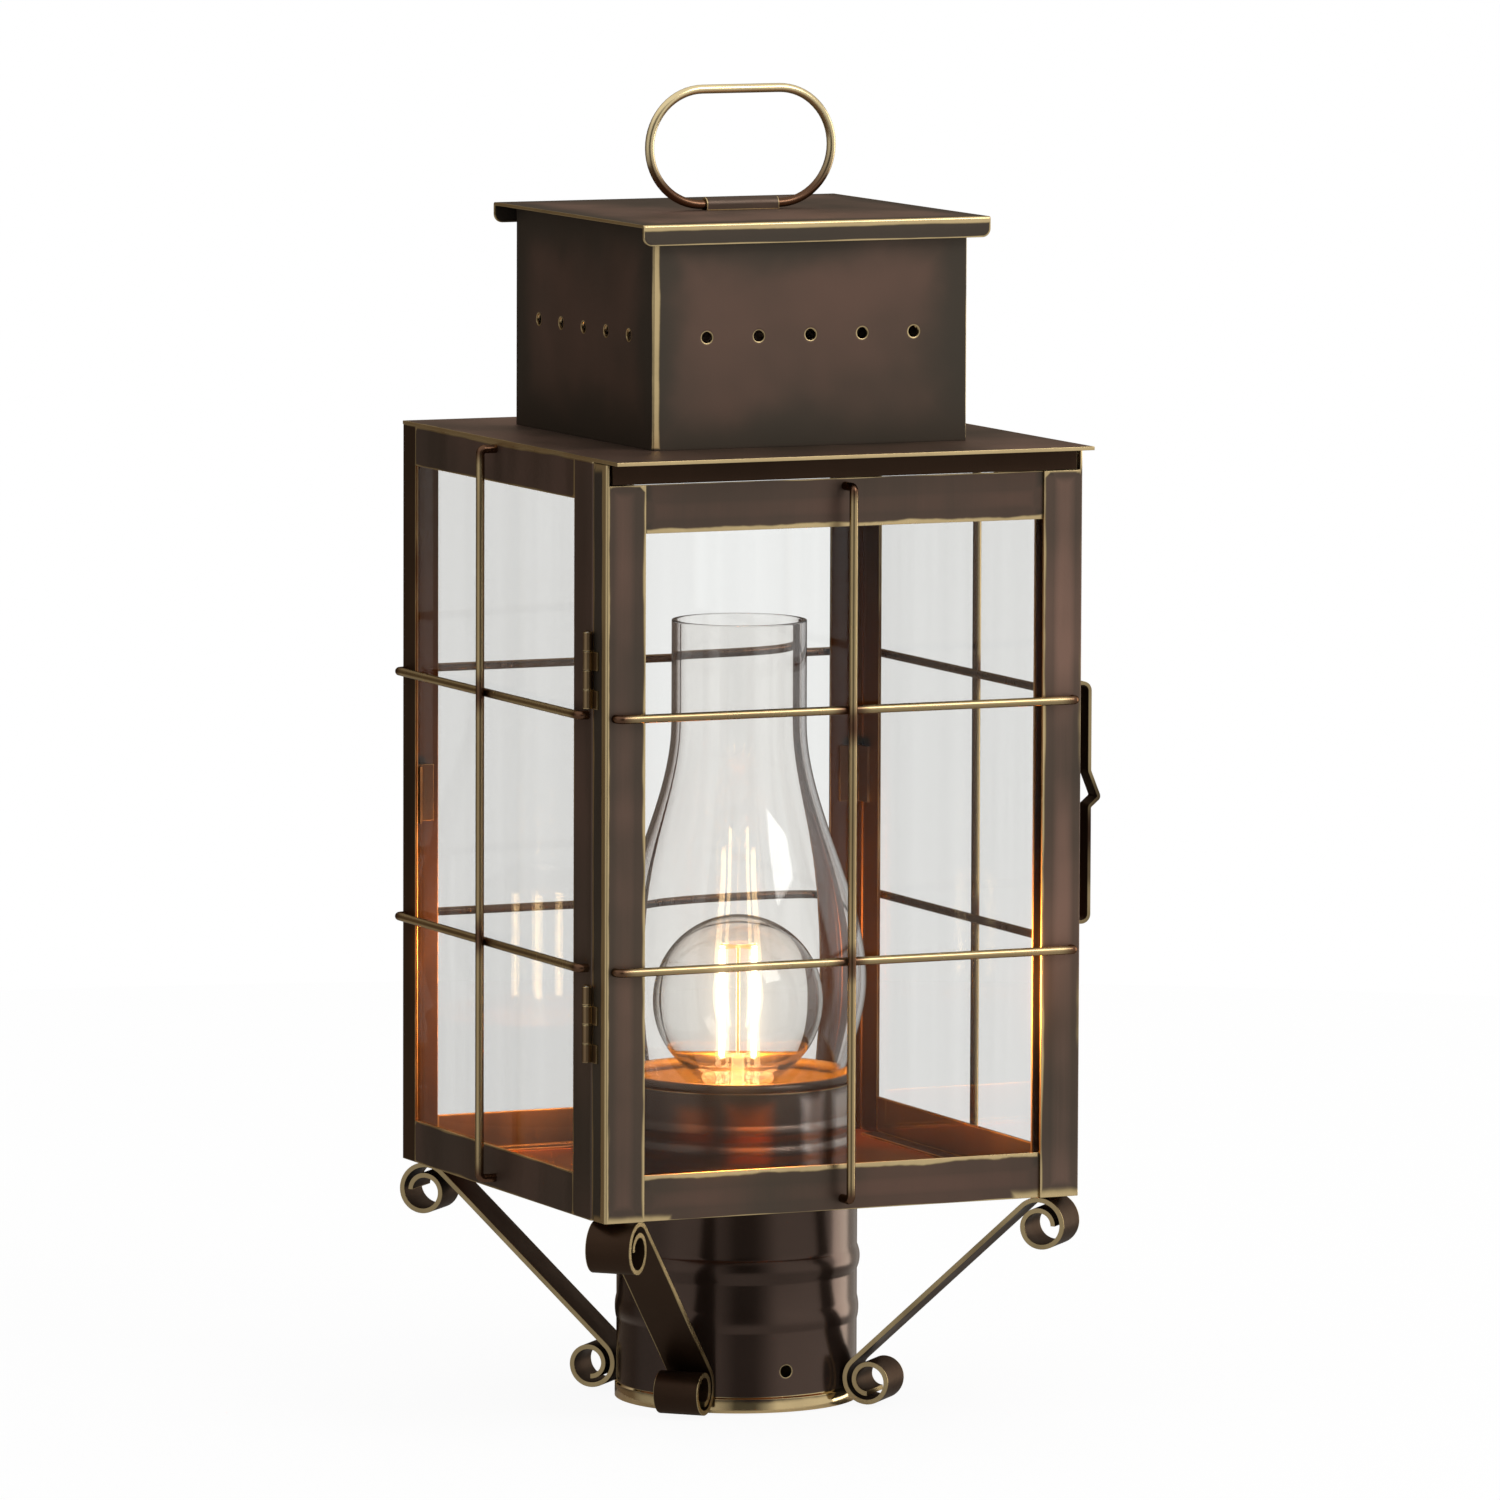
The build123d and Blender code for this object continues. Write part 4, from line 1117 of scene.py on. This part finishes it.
class LANTERN_OT_hinges(bpy.types.Operator):
    """Dress the hinge knuckles, their pins and the sprung latch"""

    bl_idname = "lantern.hinges"
    bl_label = "Hinges and latch"

    def execute(self, context):
        sheet_piece("post_knuckles", "lantern", "Hinge brass", "worn_brass", rub=0.5)
        sheet_piece("door_knuckles", "door", "Hinge brass", "worn_brass", rub=0.5)
        sheet_piece("hinge_pins", "lantern", "Pin steel", "pin_steel", rub=0.4)
        sheet_piece("latch_strip", "door", "Dark latch", "worn_brass", rub=0.6)
        return {"FINISHED"}


class LANTERN_OT_scrolls(bpy.types.Operator):
    """Dress the four scroll brackets under the lamp house"""

    bl_idname = "lantern.scrolls"
    bl_label = "Scroll brackets"

    def execute(self, context):
        for corner in CORNERS:
            sheet_piece(f"{corner}_scroll", "lantern", "Aged strip", rub=0.68)
        return {"FINISHED"}


class LANTERN_OT_fitter(bpy.types.Operator):
    """Dress the beaded tube that slips over the post, and its collar"""

    bl_idname = "lantern.fitter"
    bl_label = "Post fitter"

    def execute(self, context):
        sheet_piece("post_fitter", "lantern", "Aged tube", rub=0.8)
        sheet_piece("fitter_collar", "lantern", "Aged tube", rub=0.8)
        return {"FINISHED"}


# ---- wires
WIRE_RADIUS = 1.42
WIRE_BEND = 1.6  # middle of the wire
# How much further up each face's upright wire goes than its solid.
UPRIGHT_LIFT = {"left": 1.8, "right": 1.8, "back": 1.8, "door": 1.2}
# Body, way out from the face, way along it.
GUARDED = {
    "left": ("lantern", (-1, 0, 0), (0, -1, 0)),
    "right": ("lantern", (1, 0, 0), (0, 1, 0)),
    "back": ("lantern", (0, 1, 0), (-1, 0, 0)),
    "door": ("door", (0, -1, 0), (1, 0, 0)),
}


def bent_wire(name, body, start, outward, along, span, stand, sides, crossings):
    """A guard wire: out from the frame, along the face and back in, with round bends."""
    bm = bmesh.new()
    pen = Pen(bm, start, outward, along, WIRE_RADIUS, sides)
    foot, straight = stand - WIRE_BEND, span - 2 * WIRE_BEND
    corner = start + outward * foot + along * WIRE_BEND
    pen.run(outward * foot)
    pen.bend(corner, outward.cross(along), pi / 2, 6)
    pen.run(along * straight, 60)
    pen.bend(corner + along * straight, outward.cross(along), pi / 2, 6)
    pen.run(outward * -foot)
    close_ends(bm)
    # Painted shade: the wire is darkened where the wires cross, at their feet and on the side toward
    # the glass.
    crossed, footed, fading, middle = 2.0, 0.5, 6.0, 0.75
    unshaded = bm.verts.layers.float.new("run")
    for vert in bm.verts:
        place = (vert.co - start).dot(along)
        clear = [abs(place - span * crossing) - crossed for crossing in crossings]
        clear += [place - footed, span - place - footed]
        outer = ((vert.co - start).dot(outward) - stand) / WIRE_RADIUS
        vert[unshaded] = max(0.0, min(1.0, min(clear) / fading, middle + outer))
    finish_piece(bm, f"{name}_piece", "Worn wire with painted shade", body, [name], "worn_brass", weighted=False)


class LANTERN_OT_guards(bpy.types.Operator):
    """Bend the three guard wires of each face"""

    bl_idname = "lantern.guards"
    bl_label = "Guard wires"

    def execute(self, context):
        sides = context.scene.lantern_sizes.wire_sides
        for face, (body, outward, along) in GUARDED.items():
            out = Vector(outward)
            for part in ("lower", "upper", "upright"):
                node = f"{face}_guard_{part}"
                low, high = (Vector(corner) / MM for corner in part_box(node))
                run, crossings = Vector(along), (1 / 2,)
                if part == "upright":
                    run, crossings = Vector((0, 0, 1)), (1 / 3, 2 / 3)
                    high.z += UPRIGHT_LIFT[face]
                # The wire's outer side is the box's outer side, and its feet are on the inner side.
                size = high - low
                span = abs(size.dot(run)) - 2 * WIRE_RADIUS
                reach = abs(size.dot(out))
                start = (low + high) / 2 - run * (span / 2) - out * (reach / 2)
                bent_wire(node, body, start, out, run, span, reach - WIRE_RADIUS, sides, crossings)
        return {"FINISHED"}


class LANTERN_OT_handle(bpy.types.Operator):
    """Bend the carrying handle and dress its strap"""

    bl_idname = "lantern.handle"
    bl_label = "Carrying handle"

    def execute(self, context):
        low, high = (Vector(corner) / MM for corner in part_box("handle_loop"))
        radius = (high.y - low.y) / 2
        rise = (high.z - low.z) / 2 - radius
        middle = (low.z + high.z) / 2
        straight = (high.x - low.x) / 2 - radius - rise
        bm = bmesh.new()
        pen = Pen(bm, (-straight, 0, middle - rise), (1, 0, 0), (0, 1, 0), radius, 24)
        pen.run((2 * straight, 0, 0))
        pen.bend((straight, 0, middle), (0, -1, 0), pi, 32)
        pen.run((-2 * straight, 0, 0))
        pen.bend((-straight, 0, middle), (0, -1, 0), pi, 32)
        bmesh.ops.remove_doubles(bm, verts=bm.verts, dist=0.01)
        bmesh.ops.recalc_face_normals(bm, faces=bm.faces)
        made = ("handle_loop_piece", "Worn handle", "handle", ["handle_loop"], "worn_brass")
        finish_piece(bm, *made, weighted=False)
        sheet_piece("handle_strap", "lantern", "Aged sheet", "worn_brass", rub=0.6)
        return {"FINISHED"}


# ---- glass
class LANTERN_OT_panes(bpy.types.Operator):
    """Set the four panes and the small clips that hold them"""

    bl_idname = "lantern.panes"
    bl_label = "Panes and clips"

    def execute(self, context):
        for face in FACES:
            sheet_piece(f"{face}_pane", "lantern", f"{face.capitalize()} pane", "pane_glass")
        sheet_piece("door_pane", "door", "Door pane", "pane_glass")
        sheet_piece("pane_clips", "lantern", "Dark clip", "clip_bronze", rub=0.4)
        sheet_piece("door_clips", "door", "Dark clip", "clip_bronze", rub=0.4)
        return {"FINISHED"}


class LANTERN_OT_chimney(bpy.types.Operator):
    """Turn the chimney glass, and dress the spun cup and the seat that carry it"""

    bl_idname = "lantern.chimney"
    bl_label = "Chimney, cup and seat"

    def execute(self, context):
        low, high = (Vector(corner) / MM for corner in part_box("chimney_glass"))
        foot, belly, neck, wall = 31.0, high.x, 22.4, 1.6
        foot_z, top_z = low.z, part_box("chimney_neck")[1][2] / MM
        collar_z, belly_z, neck_z = foot_z + 6.0, foot_z + 56.5, foot_z + 142.0
        swell, taper = (belly_z - collar_z) / 3, (neck_z - belly_z) / 3
        flare, lip, edge = 1.1, 0.7, 0.4
        side = Turning(foot - edge, foot_z).to(foot, foot_z + edge).to(foot, collar_z)
        side.curve((foot + flare, collar_z + swell), (belly, belly_z - swell), belly, belly_z)
        side.curve((belly, belly_z + taper), (neck, neck_z - taper), neck, neck_z)
        side.to(neck, top_z - lip)
        side.curve((neck, top_z), (neck, top_z), neck - lip, top_z, 6)
        foot_in, belly_in, neck_in = foot - wall, belly - wall, neck - wall
        side.to(neck_in + lip, top_z)
        side.curve((neck_in, top_z), (neck_in, top_z), neck_in, top_z - lip, 6)
        side.to(neck_in, neck_z)
        side.curve((neck_in, neck_z - taper), (belly_in, belly_z + taper), belly_in, belly_z)
        side.curve((belly_in, belly_z - swell), (foot_in + flare, collar_z + swell), foot_in, collar_z)
        side.to(foot_in, foot_z + edge).to(foot_in + edge, foot_z).to(foot - edge, foot_z)
        turned_piece(side, "chimney", "Chimney glass", "chimney_glass", "chimney_neck")
        sheet_piece("chimney_cup", "lantern", "Spun cup", "cup_brass", rub=0.6)
        sheet_piece("chimney_seat", "lantern", "Spun cup", "cup_brass", rub=0.6)
        return {"FINISHED"}


class LANTERN_OT_bulb(bpy.types.Operator):
    """Blow the bulb's glass, and dress its stem, filaments and cap"""

    bl_idname = "lantern.bulb"
    bl_label = "Bulb"

    def execute(self, context):
        low, high = (Vector(corner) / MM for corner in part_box("bulb_glass"))
        radius = high.x
        centre = high.z - radius
        neck, wall, sleeve_z = 12.6, 0.8, low.z + 3.0
        shoulder, inner_sweep = 20.75, radians(134.0)
        shell = Turning(neck, low.z).to(neck, sleeve_z)
        shell.curve((neck, low.z + 7.0), (17.2, 109.4), 20.6, 113.0, 10)
        shell.to(shoulder, centre - (radius**2 - shoulder**2) ** 0.5)
        shell.arc(centre, -angle_to_crown(shell.last.co, centre), 40)
        shell.to(0.0, high.z - wall).arc(centre, inner_sweep, 40)
        shell.curve((16.4, 110.6), (neck - wall, low.z + 7.4), neck - wall, sleeve_z, 10)
        shell.to(neck - wall, low.z).to(neck, low.z)
        turned_piece(shell, "bulb", "Bulb glass", "bulb_glass")
        sheet_piece("bulb_stem", "bulb", "Stem glass", "stem_glass", rub=0.1)
        sheet_piece("bulb_filaments", "bulb", "Lit filament", "filament", rub=0.3)
        sheet_piece("bulb_cap", "bulb", "Bright cap", "cap_brass", rub=0.5)
        return {"FINISHED"}


def angle_to_crown(point, centre):
    """Angle from a point on the globe up to its crown."""
    return Vector((point.x, point.z - centre)).angle(Vector((0, 1)))


class LANTERN_OT_socket(bpy.types.Operator):
    """Dress the lamp socket"""

    bl_idname = "lantern.socket"
    bl_label = "Lamp socket"

    def execute(self, context):
        sheet_piece("socket_body", "lantern", "Glazed porcelain", "porcelain", rub=0.4)
        for node in ("screw_sleeve", "centre_contact"):
            sheet_piece(node, "lantern", "Socket brass", "socket_brass", rub=0.4)
        return {"FINISHED"}


# ---- light
GLASSES = ("chimney_glass_piece", "bulb_glass_piece")
LIT_BY_BULB = (
    "floor_plate",
    *(f"{corner}_post" for corner in CORNERS),
    *(f"{face}_{level}_rail" for face in FACES for level in ("bottom", "top")),
    "door_left_stile",
    "door_right_stile",
    "door_bottom_rail",
    "chimney_cup",
    "chimney_seat",
    "socket_body",
    "bulb_cap",
    "pane_clips",
)


def shine_on(lamp, names):
    """Let a lamp light only the named pieces."""
    lit = bpy.data.collections.new(f"{lamp.name} lights")
    for name in names:
        lit.objects.link(bpy.data.objects[name])
    lamp.light_linking.receiver_collection = lit


class LANTERN_OT_light(bpy.types.Operator):
    """Set up the soft studio lights, and the warm light of the bulb"""

    bl_idname = "lantern.light"
    bl_label = "Lights"

    def execute(self, context):
        meshes = [item.name for item in context.scene.objects if item.type == "MESH"]
        pieces = [name for name in meshes if name.endswith("_piece")]
        metal = [name for name in pieces if "glass" not in name and "pane_" not in name]
        all_but_glasses = [name for name in meshes if name not in GLASSES]
        for name, place, size, power, tint, names in (
            ("key", (0.9, -1.5, 1.5), (0.9, 0.9), 14.0, (1.0, 0.985, 0.96), all_but_glasses),
            ("right rim", (1.6, 0.1, 0.3), (0.8, 1.2), 10.0, (1.0, 0.98, 0.95), metal),
            ("right strip", (0.73, -1.64, 0.5), (0.05, 1.5), 4.0, grey(1.0), GLASSES),
            ("left strip", (-1.07, 1.19, 0.5), (0.08, 1.5), 5.0, grey(1.0), GLASSES),
        ):
            shine_on(box_light(name, place, size, power, tint), names)
        glow, among_filaments = context.scene.lantern_bulb, (0, 0, 0.132)
        data = bpy.data.lights.new("bulb light", "POINT")
        data.energy = glow.power
        data.color = glow.light
        data.shadow_soft_size = 0.012
        lamp = add_object("bulb light", data)
        lamp.location = among_filaments
        lamp.visible_camera = lamp.visible_transmission = False
        shine_on(lamp, [f"{name}_piece" for name in LIT_BY_BULB])
        return {"FINISHED"}


# ---- panel and registration
PIECES = (
    LANTERN_OT_stage,
    LANTERN_OT_house,
    LANTERN_OT_top,
    LANTERN_OT_door,
    LANTERN_OT_hinges,
    LANTERN_OT_scrolls,
    LANTERN_OT_fitter,
    LANTERN_OT_guards,
    LANTERN_OT_handle,
    LANTERN_OT_panes,
    LANTERN_OT_chimney,
    LANTERN_OT_bulb,
    LANTERN_OT_socket,
    LANTERN_OT_light,
)


class LANTERN_PT_panel(bpy.types.Panel):
    """Lists the lantern's pieces"""

    bl_idname = "LANTERN_PT_panel"
    bl_label = "Post top lantern"
    bl_space_type = "VIEW_3D"
    bl_region_type = "UI"
    bl_category = "Lantern"

    def draw(self, context):
        for piece in PIECES:
            self.layout.operator(piece.bl_idname, text=piece.bl_label)


SETTINGS = {
    "lantern_brass": BrassFinish,
    "lantern_glass": GlassFinish,
    "lantern_bulb": BulbGlow,
    "lantern_sizes": PieceSizes,
    "lantern_stage": StageView,
}


def register():
    for name, settings in SETTINGS.items():
        bpy.utils.register_class(settings)
        setattr(bpy.types.Scene, name, PointerProperty(type=settings))
    for item in (*PIECES, LANTERN_PT_panel):
        bpy.utils.register_class(item)


def unregister():
    for item in reversed((*PIECES, LANTERN_PT_panel)):
        bpy.utils.unregister_class(item)
    for name, settings in SETTINGS.items():
        delattr(bpy.types.Scene, name)
        bpy.utils.unregister_class(settings)


def main():
    """Make every piece in order."""
    register()
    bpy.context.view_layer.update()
    for piece in PIECES:
        family, action = piece.bl_idname.split(".")
        getattr(getattr(bpy.ops, family), action)()


if __name__ == "__main__":
    main()
